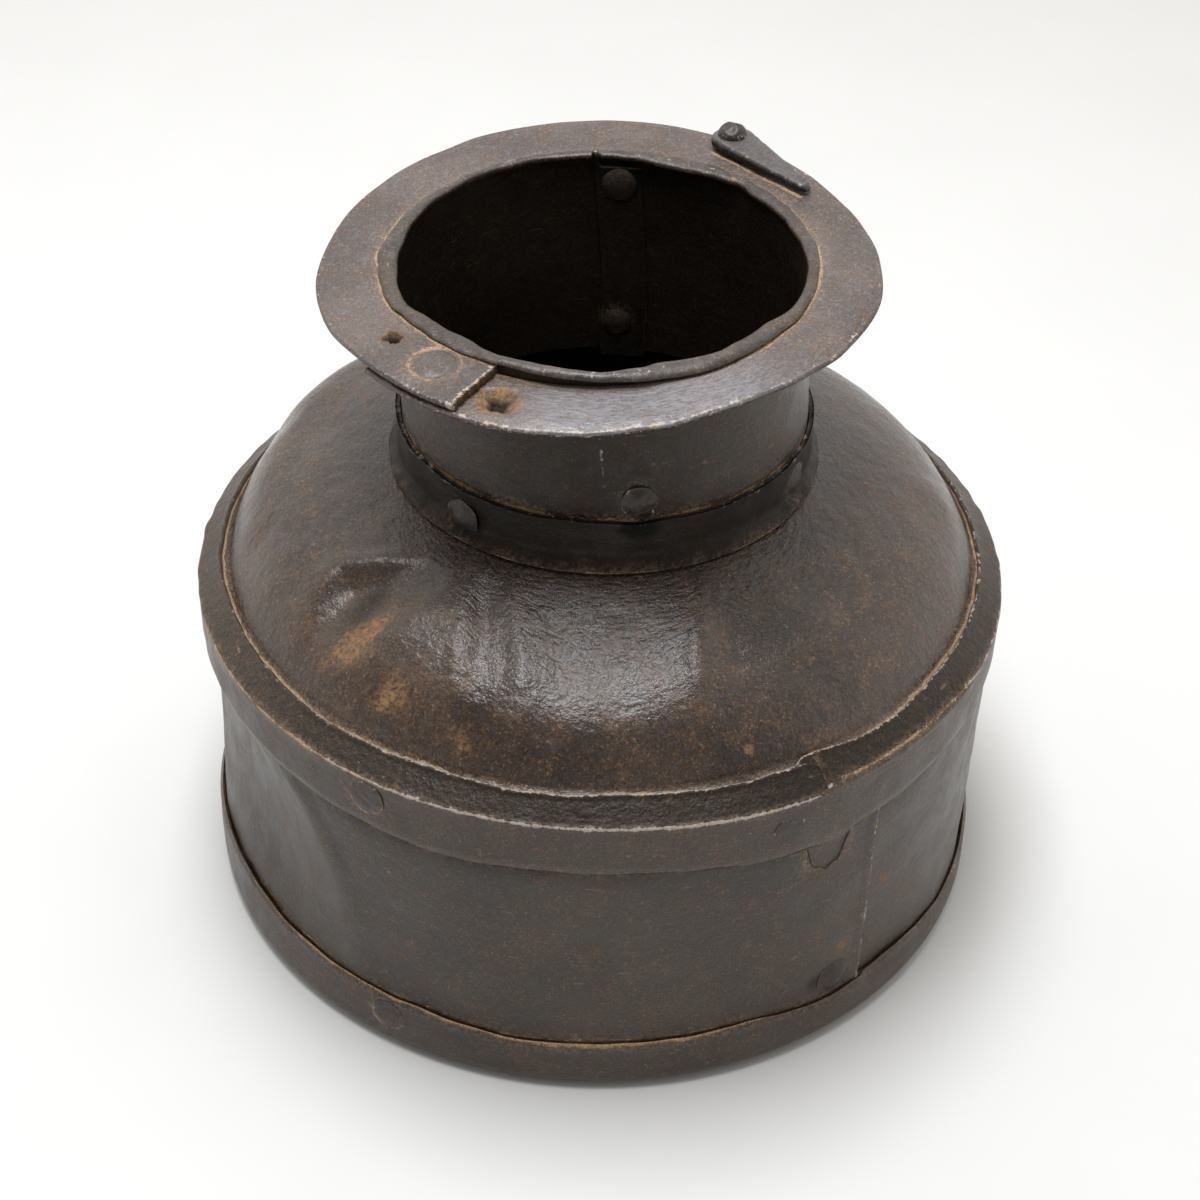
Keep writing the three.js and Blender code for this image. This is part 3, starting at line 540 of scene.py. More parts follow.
def dome_relief(sizes, azimuth, radius, foot_radius):
    """How far the crown is beaten down: a hollow with a sharp upper side, one flat face that narrows towards
    the hoop between two creases, a bulge at the left, and hammer marks."""
    inner = neck_foot_radius(sizes)
    along = (radius - inner) / (foot_radius - inner)
    fold = turn(azimuth, -49.0 + 13.0 * np.clip(1.0 - along / 0.50, 0.0, 1.0))
    hollow = 5.6 * MM * swell(np.where(fold < 0.0, fold / 6.0, fold / 14.0), (along - 0.52) / 0.46)
    lifted = -1.2 * MM * swell((fold + 6.5) / 4.5, (along - 0.46) / 0.36)
    spread = np.clip(1.0 - along, 0.0, 1.0) ** 2
    right_crease = 14.5 + 8.5 * spread
    left_crease = -15.5 - 10.5 * spread
    across = turn(azimuth, (right_crease + left_crease) / 2.0) / ((right_crease - left_crease) / 2.0)
    face = 4.6 * MM * np.maximum(1.0 - across**2, 0.0) * swell(0.0, (along - 0.46) / 0.62)
    beside = turn(azimuth, right_crease + 1.2) / 3.0
    ridge = -0.7 * MM * swell(beside, (along - 0.45) / 0.55)
    past = turn(azimuth, right_crease + 1.0)
    fall = 2.6 * MM * ease(past / 8.0) * (1.0 - ease((past - 14.0) / 62.0)) * swell(0.0, (along - 0.5) / 0.62)
    groove = 3.1 * MM * swell(turn(azimuth, left_crease - 1.0) / 6.4, (along - 0.5) / 0.55)
    low = 1.2 * MM * swell(turn(azimuth, -19.0) / 7.0, (along - 0.95) / 0.2)
    bulge = -6.0 * MM * swell(turn(azimuth, -118.0) / 44.0, (along - 0.80) / 0.40)
    bulge = bulge * ease((1.03 - along) / 0.12)
    right = -1.5 * MM * swell(turn(azimuth, 88.0) / 9.0, (along - 0.82) / 0.4)
    left = 2.2 * MM * swell(turn(azimuth, -105.0) / 8.0, (along - 0.84) / 0.2)
    side = 1.4 * MM * swell(turn(azimuth, -73.0) / 9.0, (along - 0.84) / 0.3)
    girth = 2.0 * np.pi * 110.0 * MM
    small = hammered(azimuth, radius, girth, 31, 90, (inner, foot_radius), (5.0 * MM, 17.0 * MM), 0.45 * MM)
    soft = ripples(azimuth, radius, girth, 32, 22.0 * MM, 6.0 * MM, 0.06 * MM, flow=1.6)
    fine = ripples(azimuth, radius, girth, 33, 7.0 * MM, 3.0 * MM, 0.020 * MM, flow=1.8)
    ends = ease(along / 0.12) * ease((1.02 - along) / 0.12)
    whole = hollow + lifted + face + ridge + fall + groove + low + bulge + right + left + side
    return whole + (small + soft + fine) * ends


# The mouth's leaning frame


def mouth_matrix():
    """Turns and shifts points of the ring's own frame into the pot's, from the catch's hinge."""
    axis = Vector(CATCH_JOINT["axis"])
    lean = Matrix.Rotation(math.atan2(-axis.y, axis.z), 4, "X") @ Matrix.Rotation(math.asin(axis.x), 4, "Y")
    arm = Vector(around(CATCH_AZIMUTH, CATCH_RADIUS, 0.0))
    origin = Vector(CATCH_JOINT["pos_m"]) - lean.to_3x3() @ arm
    return Matrix.Translation(origin) @ lean


def to_mouth(points):
    """Applies the mouth's matrix to an array of points."""
    matrix = np.array(mouth_matrix())
    return points @ matrix[:3, :3].T + matrix[:3, 3]


LIP_INSIDE = (
    (-180.0, 69.4), (-155.0, 71.0), (-126.0, 71.0), (-93.0, 69.1), (-63.0, 69.9), (-42.0, 67.2),
    (-20.0, 69.9),
    (2.0, 71.5), (12.0, 69.0), (18.0, 66.8), (36.0, 69.4), (53.0, 68.4), (66.0, 72.0), (82.0, 72.2),
    (111.0, 70.2),
    (128.0, 68.8), (134.0, 70.2), (154.0, 67.0),
)
RING_OUTSIDE = (
    (-179.0, 98.8), (-152.0, 98.4), (-142.0, 97.0), (-106.0, 95.8), (-76.0, 97.5), (-45.0, 97.6),
    (-21.0, 98.4),
    (-2.0, 97.4), (13.0, 95.6), (24.0, 93.4), (36.0, 93.4), (46.0, 94.6), (57.0, 96.7), (76.0, 98.4),
    (91.0, 97.4),
    (115.0, 95.2), (143.0, 96.9),
)
RIM_LAP_END = -26.0
RIM_LAP_OVERLAP = 24.0
RIM_LAP_RAMP = 18.0


def lip_inside(azimuth):
    """Radius of the mouth's inner edge, which wanders where it was beaten."""
    return through(azimuth, LIP_INSIDE) * MM + wavy(azimuth, 41, 7, 34, 0.24 * MM)


def lip_outside(sizes, azimuth):
    """Radius of the lip's outer edge on the ring: wide at the left, beaten nearly flush at the front left."""
    width = through(azimuth, (
        (-180.0, 1.0), (-140.0, 1.2), (-110.0, 2.0), (-92.0, 3.4), (-84.0, 2.6), (-60.0, 1.8), (-40.0, 1.4),
        (-22.0, 1.2), (-12.0, 2.4), (14.0, 2.8), (26.0, 3.0), (46.0, 2.6), (70.0, 3.2), (90.0, 3.0),
        (130.0, 1.4),
    ))
    return sizes.neck_radius + width * MM + wavy(azimuth, 42, 8, 40, 0.22 * MM)


def lip_height(azimuth):
    """Height of the lip over the ring: a full bead in front, beaten thin at the back and the front left."""
    return through(azimuth, (
        (-180.0, 0.9), (-120.0, 1.1), (-90.0, 1.4), (-60.0, 0.9), (-36.0, 0.7), (-20.0, 1.6), (-6.0, 2.6),
        (20.0, 2.7),
        (34.0, 2.9), (50.0, 2.0), (75.0, 1.2), (110.0, 1.0),
    )) * MM + np.abs(wavy(azimuth, 43, 6, 30, 0.22 * MM))


def rim_lift(sizes, azimuth):
    """How far the ring's upper end stands over its lower end, along its strip."""
    step = sizes.rim_plate + sizes.gap
    start = RIM_LAP_END - RIM_LAP_OVERLAP
    return step * ease((azimuth - 360.0 - start + RIM_LAP_RAMP + 2.0) / RIM_LAP_RAMP)


def lip_rise(sizes, azimuth):
    """The lip climbs over the ring's lap and comes down again to its right."""
    past = turn(azimuth, RIM_LAP_END)
    climb = ease((past + RIM_LAP_OVERLAP + RIM_LAP_RAMP + 4.0) / RIM_LAP_RAMP)
    bridge = 1.0 - ease((past - 2.0) / 60.0)
    return (sizes.rim_plate + sizes.gap + 0.2 * MM) * climb * bridge


# Pieces


def build_pan(sizes):
    """Flat foot, floor z = sag * s^2, quarter-round corner and an upright rim with a hand-cut edge."""
    azimuth = np.arange(0.0, 360.0, 0.6)
    outer = sizes.pan_radius
    corner = 4.0 * MM
    sag = 3.0 * MM
    start = outer - corner
    foot = 64.0 * MM
    share = np.linspace(0.0, 1.0, 14)[1:]
    quarter = np.linspace(0.0, np.pi / 2.0, 9)[1:]
    flat = pair(np.linspace(3.0 * MM, foot, 8), 0.0)
    floor = pair(foot + (start - foot) * share, sag * share**2)
    bend = pair(start + corner * np.sin(quarter), sag + corner - corner * np.cos(quarter))
    base = np.concatenate((flat, floor, bend))
    edge = pan_edge(azimuth) - 0.5 * MM
    wall_share = np.linspace(0.0, 1.0, 25)[1:]
    wall_z = (sag + corner) + (edge[:, None] - sag - corner) * wall_share
    bulge = wavy(azimuth, 51, 3, 24, 0.16 * MM)[:, None] * np.sin(np.pi * wall_share * 0.8)
    step_in = (sizes.drum_radius - drum_radius_at(sizes, azimuth)) * ease((azimuth - DRUM_SEAM - 0.2) / 2.0)
    hug = 0.25 * MM + 0.85 * step_in[:, None]
    chamfer = 1.1 * MM * ease((wall_z - edge[:, None] + 1.8 * MM) / (1.8 * MM))
    wall = pair(outer + bulge * (1.0 - wall_share) - hug * ease((wall_share - 0.35) / 0.6) - chamfer, wall_z)
    face = np.concatenate((np.broadcast_to(base, (len(azimuth),) + base.shape), wall), axis=1)
    section = sheet_section(face, sizes.pan_sheet, start_bulge=None)
    against_drum = drum_radius_at(sizes, (azimuth - 28.5) % 360.0 + 28.5)[:, None] + 0.06 * MM
    beside_drum = section[..., 1] > sizes.drum_foot
    section[..., 0] = np.where(beside_drum, np.maximum(section[..., 0], against_drum), section[..., 0])
    points = around(azimuth[:, None], section[..., 0], section[..., 1])
    stations, places = points.shape[:2]
    poles = np.array(((0.0, 0.0, 0.0), (0.0, 0.0, sizes.pan_sheet)))
    quads, fans = disc_faces(stations, places)
    everything = np.concatenate((points.reshape(-1, 3), poles))
    piece = make_piece("base_pan_fine", everything, [quads, fans], "pot", "base_pan", "wall_iron")
    r, z = section[..., 0], section[..., 1]
    seam = rings_of_rivets(azimuth[:, None], z, outer, [(a, h, HEAD_FLAT, 200.0) for a, h in BASE_RIVETS])
    seam = np.where(r > outer - 1.0 * MM, seam, FAR)
    below_edge = pan_edge(azimuth)[:, None] - z
    seam = np.minimum(seam, np.abs(below_edge / MM - 0.2) + through(azimuth, (
        (-180.0, 0.7), (-70.0, 0.4), (-30.0, -0.2), (0.0, -0.6), (16.0, -0.3), (30.0, 0.6), (90.0, 1.0),
    ))[:, None])
    wear = (1.0 - ease(below_edge / (1.4 * MM))) * through(azimuth, (
        (-180.0, 0.2), (-70.0, 0.2), (-30.0, 0.4), (0.0, 0.6), (16.0, 0.4), (30.0, 0.15), (90.0, 0.1),
    ))[:, None]
    rust = 0.35 * ease((0.02 - z) / 0.02)
    ends = np.zeros(2)
    paint(
        piece,
        seam=np.append(seam, ends + FAR),
        wear=np.append(np.broadcast_to(wear, r.shape), ends),
        rust=np.append(np.broadcast_to(rust, r.shape), ends),
        grime=np.zeros(r.size + 2),
        run=np.append(z + r, ends),
    )


def build_drum(sizes):
    """One strip of sheet bent round. Its right end passes inside its left end, which shows as a step."""
    start = DRUM_SEAM - DRUM_SEAM_LAP
    azimuth = np.linspace(start, DRUM_SEAM + 360.0, 520)
    height = np.linspace(sizes.drum_foot + 0.4 * MM, sizes.drum_top - 0.4 * MM, 84)
    radius = drum_radius_at(sizes, azimuth)[:, None] + 0.0 * height
    face = pair(radius, height)
    section = sheet_section(face, sizes.drum_sheet)
    r, z = section[..., 0], section[..., 1]
    a = azimuth[:, None] + 0.0 * z
    end_wave = wavy(z.ravel() * 9000.0, 61, 3, 30, 0.12).reshape(z.shape)
    a = a + end_wave * (ease((a - 385.0) / 16.0))
    end_ridge = 0.6 * MM * swell((a - DRUM_SEAM - 359.5) / 1.0)
    points = around(a, r + end_ridge - drum_relief(sizes, a, z), z)
    over_pan = (z - pan_edge(a)) / MM
    under_hoop = (hoop_edge(a) - z) / MM
    outer = r > drum_radius_at(sizes, azimuth)[:, None] - 0.5 * sizes.drum_sheet
    pan_dust = np.abs(over_pan) + 1.0 - 0.6 * through(a, (
        (-180.0, 0.5), (-70.0, 0.4), (-30.0, 0.8), (0.0, 1.0), (22.0, 0.6), (32.0, 0.2), (90.0, 0.2),
    ))
    beside_tab = np.maximum((np.abs(turn(a, 33.1)) - 3.7) * 2.6, 93.0 - z / MM)
    hoop_dust = np.minimum(under_hoop + 1.2, np.abs(beside_tab) + 0.35)
    seam = np.where(outer, np.minimum(pan_dust, hoop_dust), FAR)
    # Painted shade: the drum is darkened just under the hoop's edge and just over the pan's edge, and a
    # painted shadow lies right of the seam's step. A dark spot is painted at the pit.
    grime = 0.75 * np.exp(-np.maximum(under_hoop, 0.0) / 5.0)
    grime = grime + 0.35 * np.exp(-np.maximum(over_pan, 0.0) / 4.0)
    tab = 0.7 * swell(turn(a, 33.0) / 4.2, (z - 97.0 * MM) / (11.0 * MM))
    pit = 0.8 * swell(turn(a, 33.2) / 2.6, (z - 30.5 * MM) / (7.0 * MM))
    spots = swell(turn(a, 37.5) / 1.6, (z - 44.0 * MM) / (5.0 * MM))
    spots += swell(turn(a, 23.0) / 0.8, (z - 100.0 * MM) / (2.0 * MM))
    spots += swell(turn(a, 42.6) / 1.3, (z - 93.0 * MM) / (3.0 * MM))
    spots += 0.8 * swell(turn(a, 46.0) / 2.0, (z - 62.0 * MM) / (4.0 * MM))
    seam_step_shadow = 0.95 * swell((a - DRUM_SEAM - 0.45) / 0.55)
    rust = 0.25 * swell(turn(a, 30.0) / 40.0, (z - 40.0 * MM) / (50.0 * MM)) + 0.4 * pit + 0.3 * tab
    rust = rust + 1.5 * spots
    end_wear = 0.40 * ease((a - DRUM_SEAM - 360.0 + 0.9) / 0.6)
    # The polish near azimuth 62 paints a pale sheen, a painted reflection.
    finish_sheet(
        "drum_wall_fine", "drum_wall", "wall_iron", points, False,
        {
            "seam": seam, "grime": np.maximum(grime + seam_step_shadow, pit), "rust": rust, "wear": end_wear,
            "polish": 0.10 * swell(turn(a, 62.0) / 26.0), "run": z,
        },
    )


HOOP_LAP_START = 22.0
HOOP_LAP_END = 31.0
HOOP_LAP_BLEND = 16.0
HOOP_UNDER_FROM = 27.5


def build_hoop(sizes):
    """Strip bent over the shoulder, worn along its corner. Its left end rides over its right end."""
    azimuth = np.linspace(HOOP_LAP_START, HOOP_LAP_END + 360.0, 620)
    inside, corner_z = hoop_corner(sizes)
    slope = seat_slope()
    step = sizes.hoop_sheet + sizes.gap
    full = HOOP_LAP_START + 359.0
    ride = step * ease((azimuth - full + HOOP_LAP_BLEND) / HOOP_LAP_BLEND)
    under = azimuth < HOOP_LAP_START + 60.0
    reach = hoop_reach(azimuth) - 0.5 * MM
    poke = 2.6 * MM * ease((azimuth - HOOP_UNDER_FROM) / 2.4) * (1.0 - ease((azimuth - 31.0) / 10.0))
    reach = reach + np.where(under, poke, 0.0)
    last = np.maximum(azimuth - 360.0 - HOOP_LAP_END + 2.6, 0.0) / 2.6
    reach = reach - 2.4 * MM * (1.0 - np.sqrt(np.maximum(1.0 - last**2, 0.0)))
    tab = (
        14.0 * MM * ease((azimuth - 28.8) / 2.0) * (1.0 - ease((azimuth - 34.2) / 2.6))
        + wavy(azimuth, 72, 60, 200, 1.0 * MM) * swell((azimuth - 33.0) / 6.0)
    )
    foot = hoop_edge(azimuth) + 0.5 * MM - np.where(under, tab, 0.0)
    settle = sizes.gap * 0.7
    base_foot = pair(inside - settle + 0.0 * azimuth, foot)
    base_corner = pair(inside - settle + 0.0 * azimuth, corner_z)
    base_edge = pair(inside - settle - reach * math.cos(slope), corner_z + reach * math.sin(slope))
    skeleton = np.stack((base_foot, base_corner, base_edge), axis=1)
    outer = offset_line(skeleton, -(ride[:, None, None] + sizes.hoop_sheet))
    inner = offset_line(skeleton, -ride[:, None, None])
    bend = 1.5 * MM
    up = np.array((0.0, 1.0))
    way = np.array((-math.cos(slope), math.sin(slope)))

    def rounded(line, radius, steps):
        """A quadratic curve over the corner, between the wall and the flange."""
        low = line[:, 1] - up * radius
        high = line[:, 1] + way * radius
        t = np.linspace(0.0, 1.0, steps)[:, None]
        curve = (1 - t) ** 2 * low[:, None] + 2 * t * (1 - t) * line[:, 1][:, None] + t**2 * high[:, None]
        wall = line_between([line[:, 0], low], [22])[:, :-1]
        flange = line_between([high, line[:, 2]], [16])[:, 1:]
        return np.concatenate((wall, curve, flange), axis=1)

    front = rounded(outer, bend, 9)
    back = rounded(inner, bend * 0.7, 9)
    near_foot, far_foot = half_round(front[:, 0], back[:, 0], 3, 0.6)
    near_edge, far_edge = half_round(front[:, -1], back[:, -1], 3, -0.6)
    front = np.concatenate((near_foot[:, ::-1], front, near_edge), axis=1)
    back = np.concatenate((far_foot[:, ::-1], back, far_edge), axis=1)
    places = front.shape[1]
    corner_index = 3 + 22 + 4
    steps_front = np.linalg.norm(np.diff(front, axis=1), axis=-1)
    run_front = np.concatenate((np.zeros((len(azimuth), 1)), np.cumsum(steps_front, axis=1)), axis=1)
    from_corner = run_front - run_front[:, corner_index][:, None]
    ridge = 0.35 * MM * swell(from_corner / (1.6 * MM)) * (0.7 + wavy(azimuth, 73, 20, 90, 0.5)[:, None])
    bisector = np.array((1.0 + math.sin(slope), math.cos(slope)))
    front = front + ridge[..., None] * bisector / np.linalg.norm(bisector)
    over_edge = front[..., 1] - hoop_edge(azimuth)[:, None]
    chamfer = 0.85 * MM * (1.0 - ease(over_edge / (4.0 * MM)))
    front[..., 0] -= chamfer + 0.9 * MM * ease((-over_edge - 0.5 * MM) / (3.0 * MM)) * under[:, None]
    swell_edge = 0.3 * MM * swell((run_front[:, -1][:, None] - run_front - 0.9 * MM) / (1.5 * MM))
    front = front + swell_edge[..., None] * np.array((math.sin(slope), math.cos(slope)))
    girth = 2.0 * np.pi * sizes.drum_radius
    marks = hammered(
        azimuth[:, None], run_front, girth, 74, 70, (0.0, 34.0 * MM), (5.0 * MM, 14.0 * MM), 0.28 * MM
    )
    marks = marks * ease((-from_corner - 2.0 * MM) / (4.0 * MM))
    front[..., 0] -= marks
    section = np.concatenate((front, back[:, ::-1]), axis=1)
    r, z = section[..., 0], section[..., 1]
    points = around(azimuth[:, None], r, z)
    heads = [(a, h, HEAD_FLAT, 215.0) for a, h in HOOP_RIVETS]
    rings = rings_of_rivets(azimuth[:, None], z, sizes.drum_radius, heads)
    on_wall = (z < corner_z - 1.0 * MM) & (np.arange(2 * places) < places)
    seam = np.where(on_wall, rings - 0.35, FAR)
    beyond = ease((azimuth - HOOP_LAP_END) / 1.5) * (1.0 - ease((azimuth - 54.0) / 12.0)) * under
    line_shift = 1.7 * MM * beyond[:, None]
    corner_wear = np.exp(-(((from_corner - line_shift) / (0.62 * MM)) ** 2))
    edge_wear = np.exp(-(((run_front[:, -1][:, None] - run_front) / (0.85 * MM)) ** 2))
    strength = through(azimuth, (
        (-180.0, 0.4), (-90.0, 0.2), (-50.0, 0.25), (-26.0, 0.8), (10.0, 1.05), (30.0, 0.8), (60.0, 0.6),
        (100.0, 0.4),
    ))[:, None]
    wear_front = np.maximum(corner_wear * (1.0 - 0.6 * beyond[:, None]), edge_wear * 0.9) * strength
    wear_front = wear_front * (1.0 - ease((azimuth - 360.0 - HOOP_LAP_END + 2.4) / 2.0))[:, None]
    wear = np.concatenate((wear_front, np.zeros_like(wear_front)), axis=1)
    # Painted shade: the flange's top is darkened, most at the front.
    flange_shade = through(azimuth, (
        (-180.0, 0.2), (-66.0, 0.15), (-30.0, 0.5), (0.0, 0.66), (45.0, 0.66), (75.0, 0.45), (110.0, 0.2),
    ))[:, None]
    on_top = np.concatenate((ease(from_corner / (2.0 * MM)), np.zeros_like(wear_front)), axis=1)
    from_end = np.abs(azimuth - HOOP_LAP_END - 0.3)[:, None] * 2.6 + 0.65
    on_flange = np.concatenate((from_corner > 0.5 * MM, np.zeros(from_corner.shape, dtype=bool)), axis=1)
    seam = np.where(on_flange & under[:, None], np.minimum(seam, from_end), seam)
    corner_dust = 1.3 * np.abs(from_corner - line_shift) / MM + through(azimuth, (
        (-180.0, 2.0), (-80.0, 2.0), (-66.0, 0.3), (-34.0, 0.25), (-18.0, 1.6), (26.0, 1.6), (36.0, 0.35),
        (60.0, 0.5),
        (85.0, 2.0),
    ))[:, None]
    edge_dust = np.abs(over_edge) / MM + 0.75
    deposits = np.minimum(corner_dust, edge_dust)
    seam = np.minimum(seam, np.concatenate((deposits, np.full_like(deposits, FAR)), axis=1))
    finish_sheet(
        "shoulder_hoop_fine", "shoulder_hoop", "wall_iron", points, False,
        {
            "seam": seam, "wear": wear, "grime": on_top * flange_shade, "rust": 0.12, "crinkle": on_top,
            "run": r + z,
        },
    )


def build_dome(sizes):
    """The dome's section turned round the axis, every point lowered by the relief at its place."""
    azimuth = np.arange(0.0, 360.0, 0.6)
    line = dome_line(sizes, 92)
    foot_radius = line[8, 0]
    section = sheet_section(line, sizes.dome_sheet)
    r = section[:, 0][None, :] + 0.0 * azimuth[:, None]
    relief = dome_relief(sizes, azimuth[:, None], r, foot_radius)
    z = section[:, 1][None, :] - relief
    points = around(azimuth[:, None], r, z)
    slope = seat_slope()
    edge_radius = hoop_corner(sizes)[0] - hoop_reach(azimuth) * math.cos(slope)
    poke = 2.6 * MM * ease((azimuth - 30.0) / 1.2) * (1.0 - ease((azimuth - 31.0) / 10.0))
    edge_radius = (edge_radius - poke * math.cos(slope))[:, None]
    from_hoop = (edge_radius - r) / math.cos(slope) / MM
    collar = sizes.neck_radius + sizes.gap + sizes.collar_sheet
    from_collar = (r - collar) / MM - 0.6
    half = section.shape[0] // 2
    outer = np.arange(section.shape[0]) < half
    dustier = through(azimuth, (
        (-180.0, 0.6), (-120.0, 0.9), (-60.0, 1.3), (-20.0, 1.1), (20.0, 1.0), (60.0, 1.5), (90.0, 1.0),
        (130.0, 0.6),
    ))[:, None]
    seam = np.minimum(from_hoop + 1.0 - dustier, from_collar + 1.2 - 0.8 * through(azimuth, (
        (-180.0, 0.5), (-60.0, 1.6), (-30.0, 1.4), (0.0, 0.3), (30.0, 0.8), (60.0, 0.6), (100.0, 0.5),
    ))[:, None])
    seam = np.where(outer, seam, FAR)
    along = (r - neck_foot_radius(sizes)) / (foot_radius - neck_foot_radius(sizes))
    a = azimuth[:, None]
    streak = turn(a, -43.0 + 12.0 * (0.80 - along))
    rust = 0.85 * swell(streak / 4.6, (along - 0.60) / 0.38)
    rust += 0.45 * swell(turn(a, -34.0) / 30.0, (along - 0.86) / 0.36)
    rust += 0.35 * swell(turn(a, -46.0) / 20.0, (along - 0.72) / 0.4)
    rust += 0.60 * swell(turn(a, -19.0) / 5.0, (along - 0.93) / 0.12)
    rust += 0.55 * swell(turn(a, -32.0) / 6.0, (along - 0.86) / 0.12)
    rust += 0.60 * swell(turn(a, -62.0) / 9.0, (along - 0.86) / 0.18)
    rust += 0.5 * swell(turn(a, -75.0) / 12.0, (along - 0.85) / 0.3)
    rust += 0.45 * swell(turn(a, -100.0) / 12.0, (along - 0.88) / 0.3)
    rust += 0.35 * swell(turn(a, 84.0) / 14.0, (along - 0.8) / 0.3)
    rust += 0.2 * swell(turn(a, 45.0) / 50.0, (along - 0.5) / 0.8)
    rust += 1.7 * swell(turn(a, 22.2) / 1.5, (along - 0.93) / 0.03)
    # Painted shade: darker at the collar's foot, in the hollow at the left and right of the face's right
    # crease.
    grime = 0.20 * np.exp(-np.maximum(from_collar, 0.0) / 2.5)
    grime += 0.65 * swell(turn(a, -45.5) / 4.5, (along - 0.52) / 0.34)
    grime += 0.42 * swell(turn(a, 33.0) / 17.0, (along - 0.45) / 0.5)
    finish_sheet(
        "shoulder_dome_fine", "shoulder_dome", "dome_iron", points, True,
        {"seam": seam, "rust": rust, "grime": grime, "run": r * 0.8 + z * 0.6},
    )


def build_collar(sizes):
    """Upright ring, a little flared at its foot, with a wavy upper edge that stands off the neck."""
    azimuth = np.arange(0.0, 360.0, 0.75)
    foot = dome_line(sizes, 12)[-1, 1] + sizes.gap
    radius = sizes.neck_radius + sizes.gap + sizes.collar_sheet
    top = foot + sizes.collar_height - 0.5 * MM + wavy(azimuth, 81, 3, 30, 0.35 * MM)
    share = np.linspace(0.0, 1.0, 34)
    z = foot + 0.3 * MM + (top[:, None] - foot - 0.3 * MM) * share
    flare = 3.2 * MM * (1.0 - ease(share / 0.45)) ** 2
    belly = wavy(azimuth, 82, 2, 20, 0.14 * MM)[:, None] * np.sin(np.pi * share)
    stand = 0.12 * MM * ease((share - 0.82) / 0.18)
    face = pair(radius + flare + belly + stand, z)
    section = sheet_section(face, sizes.collar_sheet)
    r, z = section[..., 0], section[..., 1]
    a = azimuth[:, None]
    girth = 2.0 * np.pi * radius
    reach = (foot, foot + sizes.collar_height)
    marks = hammered(a, z, girth, 83, 40, reach, (4.0 * MM, 10.0 * MM), 0.25 * MM)
    pit = 0.9 * MM * swell(turn(a, -38.0) / 8.5, (z - foot - 8.5 * MM) / (10.0 * MM))
    points = around(a, r - marks - pit, z)
    through_collar = [place for number, place in enumerate(COLLAR_RIVETS, 1) if number != NECK_RIVET]
    heads = [(middle, height, HEAD_COLLAR, 220.0) for middle, height in through_collar]
    rings = rings_of_rivets(a, z, radius, heads) + 0.9
    from_dome = (z - foot) / MM + 0.5
    seam = np.where(np.arange(section.shape[1]) < section.shape[1] // 2, np.minimum(rings, from_dome), FAR)
    below = (top[:, None] - z) / MM
    wear = 0.36 * np.exp(-((below / 0.9) ** 2)) * through(azimuth, (
        (-180.0, 0.6), (-80.0, 1.0), (-50.0, 1.0), (-20.0, 0.5), (20.0, 0.4), (60.0, 0.9), (90.0, 1.0),
    ))[:, None]
    # Painted shade: the whole collar is darkened as under the ring, more by the neck rivet and in the pit at
    # the left.
    grime = 0.5 * swell(turn(a, 9.7) / 8.0, (z - foot - 17.0 * MM) / (6.0 * MM))
    grime = grime + 0.4 * swell(turn(a, -37.5) / 8.0, (z - foot - 8.0 * MM) / (10.0 * MM))
    finish_sheet(
        "neck_collar_fine", "neck_collar", "wall_iron", points, True,
        {"seam": seam, "wear": wear, "grime": grime + 0.80, "rust": 0.1, "run": z},
    )


